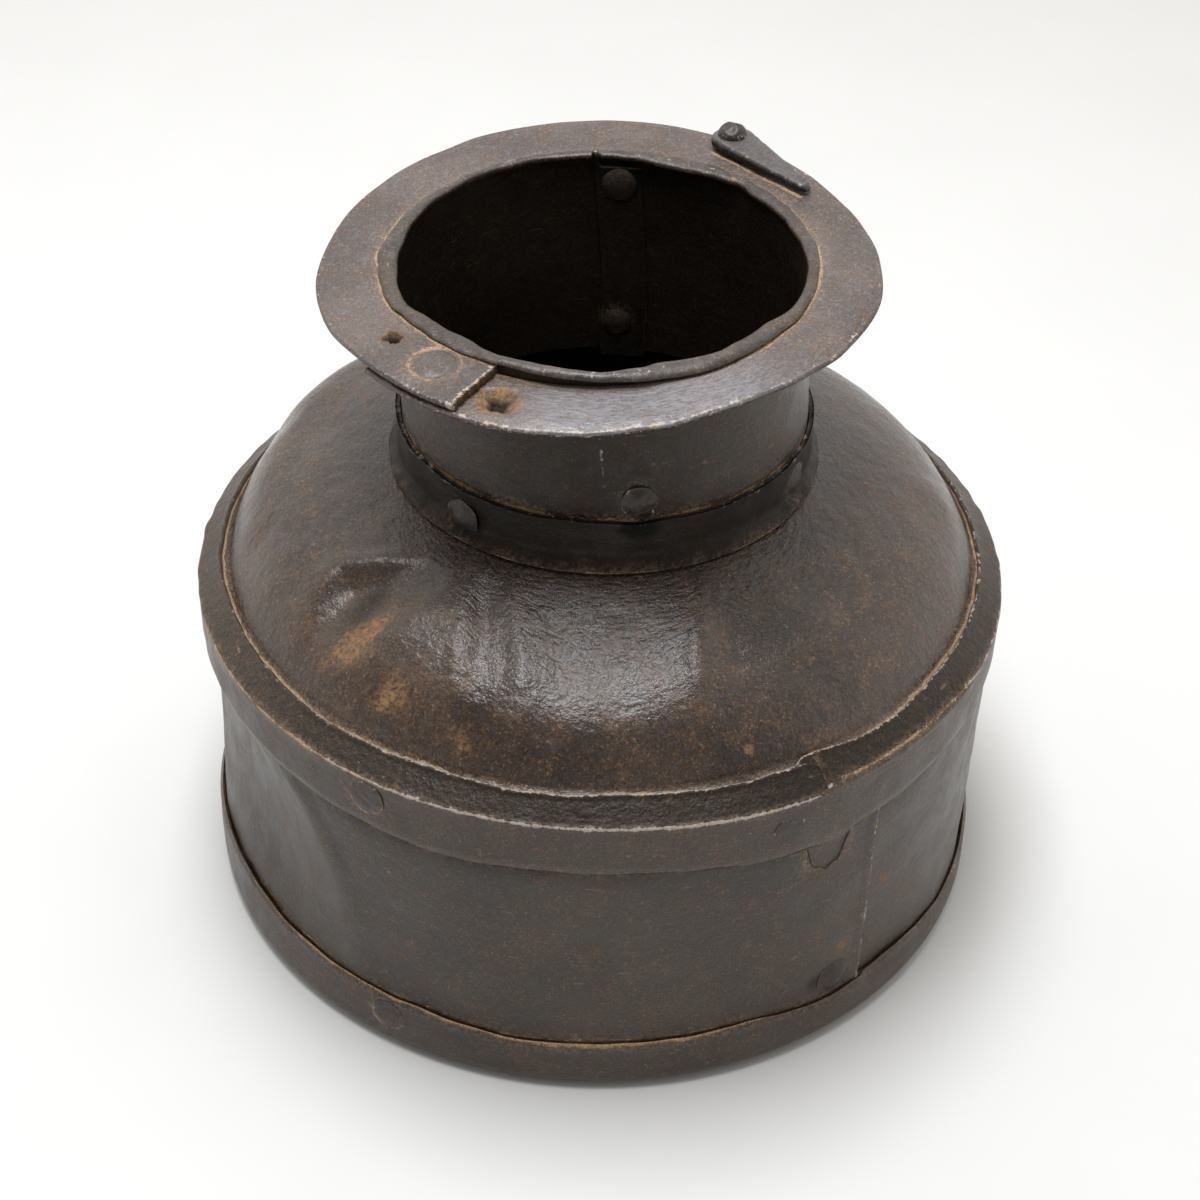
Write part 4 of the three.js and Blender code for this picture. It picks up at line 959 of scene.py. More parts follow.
def build_neck(sizes):
    """Strip bent round, upright at the collar and leaning with the mouth at the ring. Its foot is turned out
    under the dome, and its top is beaten out over the ring as a lip."""
    seam_end = 181.5
    start = seam_end - 13.5
    azimuth = np.concatenate((
        np.linspace(start, seam_end, 22, endpoint=False),
        np.linspace(seam_end, seam_end + 2.0, 12, endpoint=False),
        np.linspace(seam_end + 2.0, seam_end + 360.0, 500),
    ))
    foot_z = dome_line(sizes, 12)[-1, 1] - sizes.dome_sheet / math.cos(math.radians(12.0)) - sizes.gap
    collar_top = dome_line(sizes, 12)[-1, 1] + sizes.gap + sizes.collar_height
    mouth_z = mouth_matrix().translation.z
    blend_top = mouth_z - 9.0 * MM
    past = (azimuth - seam_end - 0.15) / 1.5
    tucked = 1.0 - ease(past / 0.6)
    spread = ease((past - 0.6) / 0.4)
    radius = sizes.neck_radius - (sizes.neck_sheet + sizes.gap) * tucked
    in_step = sizes.neck_radius - radius
    under = mouth_z + 0.1 * MM + lip_rise(sizes, azimuth)
    height = lip_height(azimuth) + sizes.gap
    low_trim = blend_top + sizes.rim_plate + 1.6 * MM
    trimmed = low_trim + (under + height - 0.8 * MM - low_trim) * ease((azimuth - seam_end + 0.8) / 0.6)

    def raised(z_tucked, z):
        """The lip's own height, or the trimmed edge's where the strip passes inside its other end."""
        return z * (1.0 - tucked) + z_tucked * tucked

    out = (lip_outside(sizes, azimuth) - sizes.neck_radius) * spread
    inside = sizes.neck_radius - sizes.neck_sheet
    last = 1.0 - ease((azimuth - seam_end - 358.6) / 1.2)
    inset = (inside - lip_inside(azimuth)) * spread * last
    inner = radius - sizes.neck_sheet * (0.3 + 0.7 * ease((azimuth - start) / 3.0))
    flange = 8.0 * MM
    drop = math.tan(math.radians(12.0)) * flange
    outer_corners = [
        pair(radius + flange, foot_z - drop - in_step),
        pair(radius, foot_z - in_step),
        pair(radius, blend_top - 2.0 * MM),
        pair(radius, raised(trimmed, under - 0.15 * MM)),
    ]
    outer = line_between(outer_corners, [5, 46, 8])
    quarter = np.linspace(0.0, np.pi, 13)[1:-1]
    centre = radius + (out - (inset + sizes.neck_sheet)) / 2.0
    half_width = (out + inset + sizes.neck_sheet) / 2.0
    bead_r = centre[:, None] + half_width[:, None] * np.cos(quarter) * (1.0 + 0.12 * np.sin(quarter) ** 4)
    lift = np.sin(quarter) ** 0.8
    bead_z = under[:, None] + height[:, None] * lift
    bead_tucked = trimmed[:, None] + 0.6 * MM * lift
    bead = pair(bead_r, bead_z * (1.0 - tucked[:, None]) + bead_tucked * tucked[:, None])
    inner_corners = [
        pair(inner - inset, raised(trimmed - 0.2 * MM, under - 0.8 * MM)),
        pair(inner - inset * 0.35, raised(trimmed - 0.9 * MM, under - 3.2 * MM)),
        pair(inner, blend_top - 4.0 * MM),
        pair(inner, foot_z - sizes.neck_sheet - in_step),
        pair(radius + flange, foot_z - drop - sizes.neck_sheet - in_step),
    ]
    inner_line = line_between(inner_corners, [3, 5, 24, 5])
    front_count = outer.shape[1] + bead.shape[1] // 2
    loop = np.concatenate((outer, bead, inner_line), axis=1)
    spare = 2 * front_count - loop.shape[1]
    if spare > 0:
        extra = line_between([loop[:, -1], loop[:, 0]], [spare + 1])[:, 1:-1]
        loop = np.concatenate((loop, extra), axis=1)
    r, z = loop[..., 0], loop[..., 1]
    a = azimuth[:, None]
    girth = 2.0 * np.pi * sizes.neck_radius
    wall = ease((z - collar_top) / (8.0 * MM)) * ease((blend_top - z) / (4.0 * MM))
    marks = hammered(a, z, girth, 91, 50, (collar_top, blend_top), (7.0 * MM, 18.0 * MM), 0.32 * MM) * wall
    marks = marks + 0.7 * MM * swell(turn(a, 9.4) / 8.0, (z - 215.0 * MM) / (7.0 * MM)) * wall
    lean = ease((z - collar_top) / (blend_top - collar_top))[..., None]
    upright = around(a, r - marks, z)
    leaning = to_mouth(around(a, r - marks, z - mouth_z))
    points = upright * (1.0 - lean) + leaning * lean
    place = np.arange(loop.shape[1])
    is_outer = (place < outer.shape[1])[None, :]
    is_bead = ((place >= outer.shape[1]) & (place < outer.shape[1] + bead.shape[1]))[None, :]
    over_collar = (z - collar_top) / MM + 0.6
    inner_heads = [(middle, height, 6.0 * MM, 90.0) for middle, height in COLLAR_RIVETS]
    inner_rings = rings_of_rivets(a, z, inside, inner_heads) + 0.9
    outer_heads = [COLLAR_RIVETS[NECK_RIVET - 1] + (HEAD_NECK, 90.0)]
    outer_head = rings_of_rivets(a, z, sizes.neck_radius, outer_heads) + 1.0
    seam = np.where(is_outer, np.minimum(np.maximum(over_collar, 0.2), outer_head), FAR)
    seam = np.where(is_outer | is_bead, seam, inner_rings)
    top_share = np.clip((z - under[:, None]) / height[:, None], 0.0, 1.0)
    bead_wear = through(azimuth, (
        (-180.0, 0.55), (-120.0, 0.6), (-95.0, 0.5), (-60.0, 0.25), (-24.0, 0.35), (-8.0, 0.75), (10.0, 0.8),
        (30.0, 0.55), (50.0, 0.4), (90.0, 0.35), (140.0, 0.5),
    ))[:, None]
    out_of_lap = 1.0 - tucked[:, None]
    wear = np.where(is_bead, 0.2 * bead_wear * ease((top_share - 0.35) / 0.5), 0.0) * out_of_lap
    # The polish on the lip also paints a pale blue sheen, a painted highlight.
    polish = np.where(is_bead, 0.26 * bead_wear * ease((top_share - 0.25) / 0.5), 0.0) * out_of_lap
    # Painted shade: the neck is darkened inside, under the ring and at its front, in the corner over the
    # collar and on the tucked end of its lap.
    inner_shade = (~is_outer & ~is_bead) * 0.80
    scratch = swell(turn(a, 0.6) / 0.75, (z - 222.0 * MM) / (26.0 * MM)) * 0.5
    scuff = swell((turn(a, 12.0) - (z - 226.0 * MM) * 260.0) / 1.4, (z - 226.0 * MM) / (9.0 * MM)) * 0.4
    low_scuff = swell(turn(a, 13.4) / 0.8, (z - 203.0 * MM) / (6.0 * MM)) * 0.5
    wear = wear + np.where(is_outer, scratch + scuff + low_scuff, 0.0)
    shade_under_ring = 0.55 * ease((z - blend_top + 8.0 * MM) / (12.0 * MM)) * is_outer
    shade_under_ring = np.maximum(shade_under_ring, 0.55 * swell(turn(a, 0.0) / 62.0) * is_outer)
    shade_near_collar = 0.75 * np.exp(-np.maximum(over_collar, 0.0) / 3.0) * is_outer
    rust = np.where(is_outer, 0.1, 0.0)
    shade_in_lap = 0.95 * tucked[:, None] * (z > blend_top)
    grime = np.maximum(np.maximum(inner_shade, shade_under_ring + shade_near_collar), shade_in_lap)
    finish_sheet(
        "neck_fine", "neck", "wall_iron", points, False,
        {"seam": seam, "wear": wear, "grime": grime, "rust": rust, "polish": polish, "run": z},
    )


RING_HOLES = (
    {
        "azimuth": -52.9, "radius": 83.2 * MM, "half": 3.3 * MM, "wide": 1.15, "square": 0.22, "spin": 0.5,
        "worn": 0.5 * MM,
    },
    {
        "azimuth": -20.6, "radius": 86.6 * MM, "half": 4.2 * MM, "wide": 1.15, "square": 0.3, "spin": 2.2,
        "worn": 2.0 * MM,
    },
)
LAP_RIVET = (-38.0, 83.2 * MM, 7.5 * MM)


def build_ring(sizes):
    """Flat strip lapped on itself, with a hand-cut outer edge, a slanting end and two ragged holes.
    A hole is a block of missing cells, whose sides are drawn in to the hole's outline."""
    start = RIM_LAP_END - RIM_LAP_OVERLAP
    azimuth = np.linspace(start, RIM_LAP_END + 360.0, 640)
    share = np.linspace(0.0, 1.0, 46)
    inside = sizes.neck_radius + sizes.gap
    outside = through(azimuth, RING_OUTSIDE) * MM + wavy(azimuth, 101, 5, 18, 0.12 * MM) - 0.7 * MM
    plate = sizes.rim_plate
    r = inside + (outside[:, None] - inside) * share
    lift = rim_lift(sizes, azimuth)[:, None]
    a = azimuth[:, None] + 0.0 * r
    girth = 2.0 * np.pi * 85.0 * MM
    marks = hammered(a, r, girth, 102, 90, (inside, 98.0 * MM), (5.0 * MM, 14.0 * MM), 0.28 * MM)
    marks = marks + ripples(a, r, girth, 103, 18.0 * MM, 5.0 * MM, 0.03 * MM, flow=2.0)
    droop = 0.7 * MM * ease((r - outside[:, None] + 5.0 * MM) / (5.0 * MM)) ** 2
    top_z = lift - marks * ease((r - inside) / (2.0 * MM)) - droop
    low_z = lift - plate + 0.0 * r + droop * 0.15
    slant_from = 14.0
    slant = -0.07 * (r / MM - 84.0) * ease((a - 360.0 - RIM_LAP_END + slant_from) / slant_from)
    shift = slant + wavy(r * 40000.0, 104, 3, 24, 0.25) * ease((a - 360.0 - RIM_LAP_END + 3.0) / 3.0)
    a = a + np.where(a > 320.0, np.minimum(shift, 3.2), 0.0)
    x = r * np.sin(np.radians(a))
    y = -r * np.cos(np.radians(a))
    low_x, low_y = x, y
    throat = 0.45
    forward = 1.3 * MM
    holes = []
    worn = np.zeros_like(r)
    near_hole = np.full(r.shape, FAR)
    for hole in RING_HOLES:
        middle = around(hole["azimuth"], hole["radius"], 0.0)
        on_upper_end = hole["azimuth"] < RIM_LAP_END
        on_strip = hole["azimuth"] + 360.0 if on_upper_end else hole["azimuth"]
        on_strip = on_strip if on_strip > 330.0 or hole["azimuth"] > RIM_LAP_END else on_strip
        station = int(np.abs(azimuth - on_strip).argmin())
        place = int(np.abs(r[station] - hole["radius"]).argmin())
        step_a = np.radians(azimuth[1] - azimuth[0]) * hole["radius"]
        step_r = r[station, 1] - r[station, 0]
        half_a = int(round(hole["half"] / step_a))
        half_r = int(round(hole["half"] / step_r))
        rows = slice(station - half_a, station + half_a)
        columns = slice(place - half_r, place + half_r)
        tangent = around(hole["azimuth"] + 90.0, 1.0, 0.0)
        outward = around(hole["azimuth"], 1.0, 0.0)
        du = (x - middle[0]) * tangent[0] + (y - middle[1]) * tangent[1]
        dv = (x - middle[0]) * outward[0] + (y - middle[1]) * outward[1]
        centre_u = du[station, place]
        centre_v = dv[station, place]
        du = du - centre_u
        dv = dv - centre_v
        reach = np.hypot(du, dv) + 1e-9
        square = np.maximum(np.abs(du) / (half_a * step_a), np.abs(dv) / (half_r * step_r)) + 1e-9
        angle = np.arctan2(dv, du)
        outline = hole["half"] * 0.92 * (
            1.0 + hole["square"] * np.cos(4.0 * (angle - hole["spin"])) * 0.6
            + 0.09 * np.cos(3.0 * angle + hole["spin"]) + 0.06 * np.cos(7.0 * angle + 1.0)
        ) * (1.0 + (hole["wide"] - 1.0) * np.cos(angle) ** 2)
        local = (np.abs(np.arange(len(azimuth)) - station) < 40)[:, None]
        fade = (1.0 - ease((square - 1.0) / 1.6)) * local
        new = reach + (outline - reach / square) * fade
        x = x + (new / reach - 1.0) * (du * tangent[0] + dv * outward[0])
        y = y + (new / reach - 1.0) * (du * tangent[1] + dv * outward[1])
        low_new = reach + (throat * outline - reach / square) * fade
        low_x = low_x + (low_new / reach - 1.0) * (du * tangent[0] + dv * outward[0])
        low_y = low_y + (low_new / reach - 1.0) * (du * tangent[1] + dv * outward[1]) - forward * fade
        edge_gap = np.where(local, np.maximum(new - outline, 0.0), 1.0)
        worn = worn + hole["worn"] * np.exp(-((edge_gap / (1.8 * MM)) ** 2))
        near_hole = np.minimum(near_hole, np.where(local, edge_gap / MM, FAR))
        holes.append((rows, columns))
    top_z = top_z - worn
    top = np.stack((x, y, top_z), axis=-1)
    low = np.stack((low_x, low_y, low_z), axis=-1)
    edge_angle = np.linspace(0.0, np.pi, 8)[1:-1]
    outward = np.stack((np.sin(np.radians(a[:, -1])), -np.cos(np.radians(a[:, -1])), 0.0 * a[:, -1]), axis=-1)
    edge_middle = (top[:, -1] + low[:, -1]) / 2.0
    edge_half = (top[:, -1, 2] - low[:, -1, 2]) / 2.0
    near = edge_middle[:, None] + outward[:, None] * (np.sin(edge_angle) * 0.75 * MM)[:, None]
    near[..., 2] += edge_half[:, None] * np.cos(edge_angle)
    half_edge = near.shape[1] // 2
    front = np.concatenate((top, near[:, :half_edge]), axis=1)
    back = np.concatenate((low, near[:, half_edge:][:, ::-1]), axis=1)
    points = np.concatenate((front, back[:, ::-1]), axis=1)
    stations, places = points.shape[:2]
    index = np.arange(stations * places).reshape(stations, places)
    keep = np.ones((stations - 1, places), dtype=bool)
    walls = []
    for rows, columns in holes:
        keep[rows, columns] = False
        mirrored = slice(places - 1 - columns.stop, places - 1 - columns.start)
        keep[rows, mirrored] = False
        up, down = rows.start, rows.stop
        left, right = columns.start, columns.stop
        loop = (
            [(i, left) for i in range(up, down)] + [(down, j) for j in range(left, right)]
            + [(i, right) for i in range(down, up, -1)] + [(up, j) for j in range(right, left, -1)]
        )
        upper = np.array([index[i, j] for i, j in loop])
        lower = np.array([index[i, places - 1 - j] for i, j in loop])
        walls.append(np.stack((upper, np.roll(upper, -1), np.roll(lower, -1), lower), axis=-1))
    here, ahead = index[:-1], index[1:]
    sides = np.stack((here, np.roll(here, -1, 1), np.roll(ahead, -1, 1), ahead), axis=-1)[keep]
    half = places // 2
    front_i, back_i = index[:, :half], index[:, ::-1][:, :half]
    ends = np.stack((front_i[:, :-1], front_i[:, 1:], back_i[:, 1:], back_i[:, :-1]), axis=-1)
    faces = np.concatenate([sides, ends[0][:, ::-1], ends[-1]] + walls)
    flat = points.reshape(-1, 3)
    used = np.zeros(len(flat), dtype=bool)
    used[faces.ravel()] = True
    order = np.cumsum(used) - 1
    faces = order[faces]
    piece = make_piece("rim_ring_fine", to_mouth(flat[used]), [faces], "pot", "rim_ring", "rim_iron")
    full_r = np.hypot(points[..., 0], points[..., 1])
    full_a = np.degrees(np.arctan2(points[..., 0], -points[..., 1]))
    from_lip = (full_r - lip_outside(sizes, full_a)) / MM
    is_top = np.arange(places) < half
    across = np.hypot(
        np.radians(turn(full_a, LAP_RIVET[0])) * LAP_RIVET[1], full_r - LAP_RIVET[1]
    )
    on_upper = (azimuth > 300.0)[:, None]
    from_rivet = np.where(on_upper, np.abs((across - LAP_RIVET[2]) / MM - 1.2) / 1.4 + 0.5, FAR)
    pivot = around(CATCH_AZIMUTH, CATCH_RADIUS, 0.0)
    heading = math.radians(CATCH_HEADING)
    beyond_x, beyond_y = points[..., 0] - pivot[0], points[..., 1] - pivot[1]
    forth = beyond_x * math.cos(heading) + beyond_y * math.sin(heading)
    aside = beyond_x * math.sin(heading) - beyond_y * math.cos(heading)
    half_blade = BLADE_HALF - (BLADE_HALF - BLADE_TIP_HALF) * np.clip(forth / BLADE_LENGTH, 0.0, 1.0)
    beside_blade = (forth > -3.0 * MM) & (forth < BLADE_LENGTH)
    from_blade = np.where(beside_blade, np.abs(aside - half_blade - 0.6 * MM) / MM + 0.1, FAR)
    lip_dust = through(full_a, (
        (-180.0, 0.9), (-130.0, 1.5), (-95.0, 1.6), (-60.0, 1.2), (-30.0, 0.9), (0.0, 0.6), (40.0, 1.1),
        (80.0, 1.4), (120.0, 1.3), (150.0, 1.0),
    ))
    seam = np.minimum(np.minimum(from_lip + 1.4 - lip_dust, from_rivet), from_blade)
    seam = np.where(is_top, seam, FAR)
    pad = ((0, 0), (0, near.shape[1] // 2))
    hole_front = np.pad(near_hole, pad, constant_values=FAR)
    hole_all = np.concatenate((hole_front, hole_front[:, ::-1]), axis=1)
    rust = 1.1 * np.exp(-hole_all / 1.6)
    second = np.hypot(np.radians(turn(full_a, -20.0)) * 86.0 * MM, full_r - 86.5 * MM)
    rust += 1.15 * (1.0 - ease((second / MM - 3.0) / 8.0)) * (azimuth < 60.0)[:, None]
    rust += 0.25
    around_second = np.abs(second / MM - 4.8) / 1.8 + 0.4 + 2.5 * ease(turn(full_a, -22.5) / 4.0)
    around_second = around_second + np.where(azimuth < 60.0, 0.0, FAR)[:, None]
    seam = np.minimum(seam, np.where(is_top, around_second, FAR))
    from_end = (RIM_LAP_END + 360.0 - azimuth)[:, None] * 1.48
    end_wear = 0.75 * np.exp(-(((from_end - 1.0) / 0.7) ** 2))
    rust += 0.9 * np.exp(-((from_end / 0.35) ** 2))
    outer_wear = 0.55 * np.exp(-(((full_r - outside[:, None]) / MM / 1.0) ** 2))
    outer_wear = outer_wear * through(full_a, (
        (-180.0, 0.3), (-60.0, 0.3), (-20.0, 0.9), (20.0, 1.0), (40.0, 0.6), (90.0, 0.4),
    ))
    # The polish at the ring's front paints a pale blue sheen, a painted highlight.
    polish = 0.65 * ease((full_a + 22.0) / 16.0) * (1.0 - ease((full_a - 30.0) / 24.0)) * is_top
    # Painted shade on the ring's underside and round the walls of its holes; the top of the upper lap end is
    # painted darker.
    grime = np.where(is_top, 0.3 * ease((azimuth - 306.0) / 8.0)[:, None], 0.7)
    layers = {
        "seam": seam, "wear": np.maximum(end_wear, outer_wear), "rust": rust, "polish": polish,
        "grime": grime + 0.5 * np.exp(-hole_all / 0.8), "run": full_r,
    }
    paint(piece, **{
        key: np.broadcast_to(value, (stations, places)).reshape(-1)[used] for key, value in layers.items()
    })


# Exponent and power of a crown: beaten flat, melted into the sheet, and a half dome
FLAT = (3.0, 1.0)
SOFT = (2.0, 1.7)
DOMED = (2.0, 0.55)


def rivet_lines(head_radius, head_height, crown, grip, inner_radius, inner_height, shank):
    """A rivet's section from its crown down: z = h * (1 - s^exponent)^power, the shank and the inner head."""
    share = np.sin(np.linspace(0.04, np.pi / 2.0, 22))
    exponent, power = crown
    profile = (1.0 - share**exponent) ** power
    crown_line = pair(head_radius * share, head_height * profile + 0.05 * MM)
    edge = pair(np.array((head_radius, head_radius * 0.97)), np.array((0.0, -0.12 * MM)))
    under = pair(np.array((shank, shank, inner_radius * 0.97)), np.array((-0.12 * MM, -grip, -grip)))
    inner_share = np.linspace(1.0, 0.06, 12)
    inner = pair(inner_radius * inner_share, -grip - inner_height * (1.0 - inner_share**2.2) - 0.1 * MM)
    return np.concatenate((crown_line, edge, under, inner)), len(crown_line)


def build_rivet(name, node, slot, at, out, shape, seed, dusty=True, rusty=0.12):
    """Turns a rivet's section round its own axis, with a wavy outline and a hammered crown."""
    azimuth = np.arange(0.0, 360.0, 7.5)
    line, crown_count = rivet_lines(*shape)
    outline = 1.0 + wavy(azimuth, seed, 1, 6, 0.022)
    r = line[:, 0][None, :] * outline[:, None]
    z = line[:, 1][None, :] + 0.0 * r
    x = r * np.cos(np.radians(azimuth))[:, None]
    y = r * np.sin(np.radians(azimuth))[:, None]
    rng = np.random.default_rng(seed)
    on_head = np.arange(line.shape[0]) < crown_count
    for _ in range(7):
        place = rng.uniform(-0.7, 0.7, 2) * shape[0]
        wide = rng.uniform(0.25, 0.55) * shape[0]
        mark = on_head * 0.12 * MM * swell((x - place[0]) / wide, (y - place[1]) / wide)
        z = z - mark * (1.0 + 4.0 * shape[1] / shape[0])
    local = np.stack((x, y, z), axis=-1)
    poles = np.array((
        (0.0, 0.0, local[:, 0, 2].mean()), (0.0, 0.0, local[:, -1, 2].mean()),
    ))
    flat = np.concatenate((local.reshape(-1, 3), poles))
    turned = np.array(Vector(out).to_track_quat("Z", "Y").to_matrix())
    points = flat @ turned.T + np.array(at)
    quads, fans = disc_faces(len(azimuth), line.shape[0])
    piece = make_piece(name, points, [quads, fans], "pot", node, slot)
    head = shape[0]
    reach = np.hypot(flat[:, 0], flat[:, 1])
    from_rim = (head - reach) / MM
    lack = 1.2 * (1.0 - np.cos(np.arctan2(flat[:, 1], flat[:, 0]) + 0.9))
    seam = np.where(flat[:, 2] > -0.3 * MM, np.abs(from_rim) + 0.35 + lack, FAR)
    wear = 0.25 * np.exp(-((from_rim / 0.8) ** 2)) * (flat[:, 2] > -0.05 * MM)
    paint(
        piece, seam=seam if dusty else seam * 0.0 + FAR, wear=wear, rust=seam * 0.0 + rusty,
        grime=seam * 0.0 + 0.12 + 0.6 * rusty, run=reach + flat[:, 2],
    )


def wall_rivets(sizes):
    """Names, places and shapes of the rivets through the drum and the neck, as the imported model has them."""
    flat = (HEAD_FLAT, 0.55 * MM, FLAT)
    inner = (5.5 * MM, 1.3 * MM, 3.0 * MM)
    hoop_face = sizes.drum_radius + sizes.gap + sizes.hoop_sheet
    rows = []
    for number, (azimuth, z) in enumerate(HOOP_RIVETS, 1):
        grip = hoop_face - sizes.drum_radius + sizes.drum_sheet + RIVET_PLAY
        rows.append((f"hoop_rivet_{number}", azimuth, hoop_face - 0.15 * MM, z, flat + (grip,) + inner))
    lap_face = hoop_face + sizes.hoop_sheet + sizes.gap
    grip = lap_face - sizes.drum_radius + sizes.drum_sheet + RIVET_PLAY
    rows.append(("hoop_lap_rivet", HOOP_LAP_RIVET[0], lap_face - 0.35 * MM, HOOP_LAP_RIVET[1],
                 (HEAD_LAP, 0.3 * MM, FLAT, grip) + inner))
    grip = 2.0 * sizes.drum_sheet + sizes.gap + RIVET_PLAY
    rows.append(("drum_seam_rivet", DRUM_SEAM_RIVET[0], sizes.drum_radius, DRUM_SEAM_RIVET[1],
                 (HEAD_DOMED, 2.6 * MM, SOFT, grip) + inner))
    for number, (azimuth, z) in enumerate(BASE_RIVETS, 1):
        grip = sizes.pan_radius - sizes.drum_radius + sizes.drum_sheet + RIVET_PLAY
        out = sizes.pan_radius - 0.15 * MM
        rows.append((f"base_rivet_{number}", azimuth, out, z, flat + (grip,) + inner))
    for number, (azimuth, z) in enumerate(COLLAR_RIVETS, 1):
        face = sizes.neck_radius + (0.0 if number == NECK_RIVET else sizes.gap + sizes.collar_sheet)
        grip = face - sizes.neck_radius + sizes.neck_sheet + RIVET_PLAY
        grip += sizes.neck_sheet + sizes.gap if number == NECK_LAP_RIVET else 0.0
        head = HEAD_NECK if number == NECK_RIVET else HEAD_COLLAR
        shape = (head, 1.9 * MM, SOFT, grip) + inner
        rows.append((f"collar_rivet_{number}", azimuth, face - 0.15 * MM, z, shape))
    return rows


def build_tongue():
    """Tapered blade of the catch: a flattened round section carried from its back to its tip, closed at both
    ends, with a boss under the pivot."""
    length, back = BLADE_LENGTH, 6.5 * MM
    thick, thin = 3.8 * MM, 2.4 * MM
    under = 1.5 * MM
    along = -back + (length + back) * (0.5 - 0.5 * np.cos(np.linspace(0.0, np.pi, 120)))
    along[0] += 0.05 * MM
    along[-1] -= 0.05 * MM
    share = np.clip(along / length, 0.0, 1.0)
    narrowing = np.clip((along - 4.0 * MM) / (length - 4.0 * MM), 0.0, 1.0)
    half = BLADE_HALF + (BLADE_TIP_HALF - BLADE_HALF) * narrowing
    back_round = np.sqrt(np.maximum(1.0 - np.clip(-(along + 1.5 * MM) / (5.05 * MM), 0.0, 1.0) ** 2.6, 0.0))
    near_tip = np.clip((along - length + 2.0 * MM) / (2.05 * MM), 0.0, 1.0)
    tip_round = np.sqrt(np.maximum(1.0 - near_tip ** 2, 0.0))
    uneven = wavy(along * 6000.0, 111, 2, 14, 0.12 * MM)
    half = half * np.maximum(back_round * tip_round, 0.02) + uneven * tip_round
    depth = (thick + (thin - thick) * share) * np.maximum(np.minimum(back_round, 1.0) * 0.25 + 0.75, 0.02)
    depth = depth * np.maximum(tip_round, 0.3)
    angle = np.linspace(0.0, 2.0 * np.pi, 49)[:-1]
    power = 0.20
    across = np.sign(np.cos(angle)) * np.abs(np.cos(angle)) ** power
    upward = np.sign(np.sin(angle)) * np.abs(np.sin(angle)) ** power
    y = half[:, None] * across * (1.0 - 0.10 * (upward > 0.0) * np.abs(upward))
    z = under + depth[:, None] / 2.0 * (1.0 + upward)
    x = along[:, None] + 0.0 * y
    crown = 0.35 * MM * (1.0 - across**2) * (upward > 0.0)
    hollows = hammered(x * 4000.0, y, 0.09, 112, 26, (-7.0 * MM, 7.0 * MM), (2.5 * MM, 6.0 * MM), 0.3 * MM)
    z = z + (crown - hollows * 0.6) * (upward > 0.2)
    boss = 1.0 - ease((np.hypot(x, y) - 6.2 * MM) / (0.9 * MM))
    z = np.where(upward < 0.0, z - (under - 0.3 * MM) * boss, z)
    local = np.stack((x, y, z), axis=-1)
    poles = np.stack((local[0].mean(0), local[-1].mean(0)))
    flat = np.concatenate((local.reshape(-1, 3), poles))
    stations, places = local.shape[:2]
    index = np.arange(stations * places).reshape(stations, places)
    here, ahead = index[:-1], index[1:]
    quads = np.stack((here, np.roll(here, -1, 1), np.roll(ahead, -1, 1), ahead), axis=-1).reshape(-1, 4)
    first = np.stack((np.full(places, len(flat) - 2), np.roll(index[0], -1), index[0]), axis=-1)
    last = np.stack((np.full(places, len(flat) - 1), index[-1], np.roll(index[-1], -1)), axis=-1)
    turned = np.array(Matrix.Rotation(math.radians(CATCH_HEADING), 3, "Z"))
    placed = flat @ turned.T + around(CATCH_AZIMUTH, CATCH_RADIUS, 0.0)
    piece = make_piece(
        "catch_tongue_fine", to_mouth(placed), [quads, np.concatenate((first, last))], "catch",
        "catch_tongue", "rim_iron",
    )
    from_edge = (half[:, None] - np.abs(y)) / MM
    wear = 0.3 * np.exp(-((from_edge / 1.2) ** 2)) * (upward > 0.3)
    # Painted shade on the blade's sides and underside; its top is painted a darker tone too, and the polish on
    # its top paints a pale sheen.
    grime = np.where(upward < 0.5, 0.95, 0.45) + 0.0 * y
    ends = np.zeros(2)
    count = len(flat)
    paint(
        piece, seam=np.full(count, FAR), wear=np.append(wear, ends), rust=np.full(count, 0.05),
        grime=np.append(grime, ends), run=flat[:, 0], polish=np.append(0.2 * (upward > 0.3) + 0.0 * y, ends),
    )


# Irons

LOOKS = {
    "wall_iron": {
        "warm": 0.52, "cool": 0.06, "patch": 0.48, "speckle": 0.50, "scratch": 0.45,
        "rough": 0.36, "wrinkle": 0.00014, "fibre": 0.0009, "patchy": 0.0036, "pitted": 0.35, "gloss": 1.49,
    },
    "dome_iron": {
        "warm": 0.60, "cool": 0.10, "patch": 0.55, "speckle": 0.60, "scratch": 0.0,
        "rough": 0.21, "wrinkle": 0.00056, "fibre": 0.00105, "patchy": 0.0036, "pitted": 0.40, "gloss": 1.60,
    },
    "rim_iron": {
        "warm": 0.45, "cool": 0.48, "patch": 0.60, "speckle": 0.95, "scratch": 0.0,
        "rough": 0.40, "wrinkle": 0.00020, "fibre": 0.0009, "patchy": 0.0022, "pitted": 0.80, "gloss": 1.58,
    },
    "rivet_iron": {
        "warm": 0.40, "cool": 0.06, "patch": 0.35, "speckle": 0.40, "scratch": 0.0,
        "rough": 0.38, "wrinkle": 0.00008, "fibre": 0.0009, "patchy": 0.0036, "pitted": 0.40, "gloss": 1.51,
    },
}


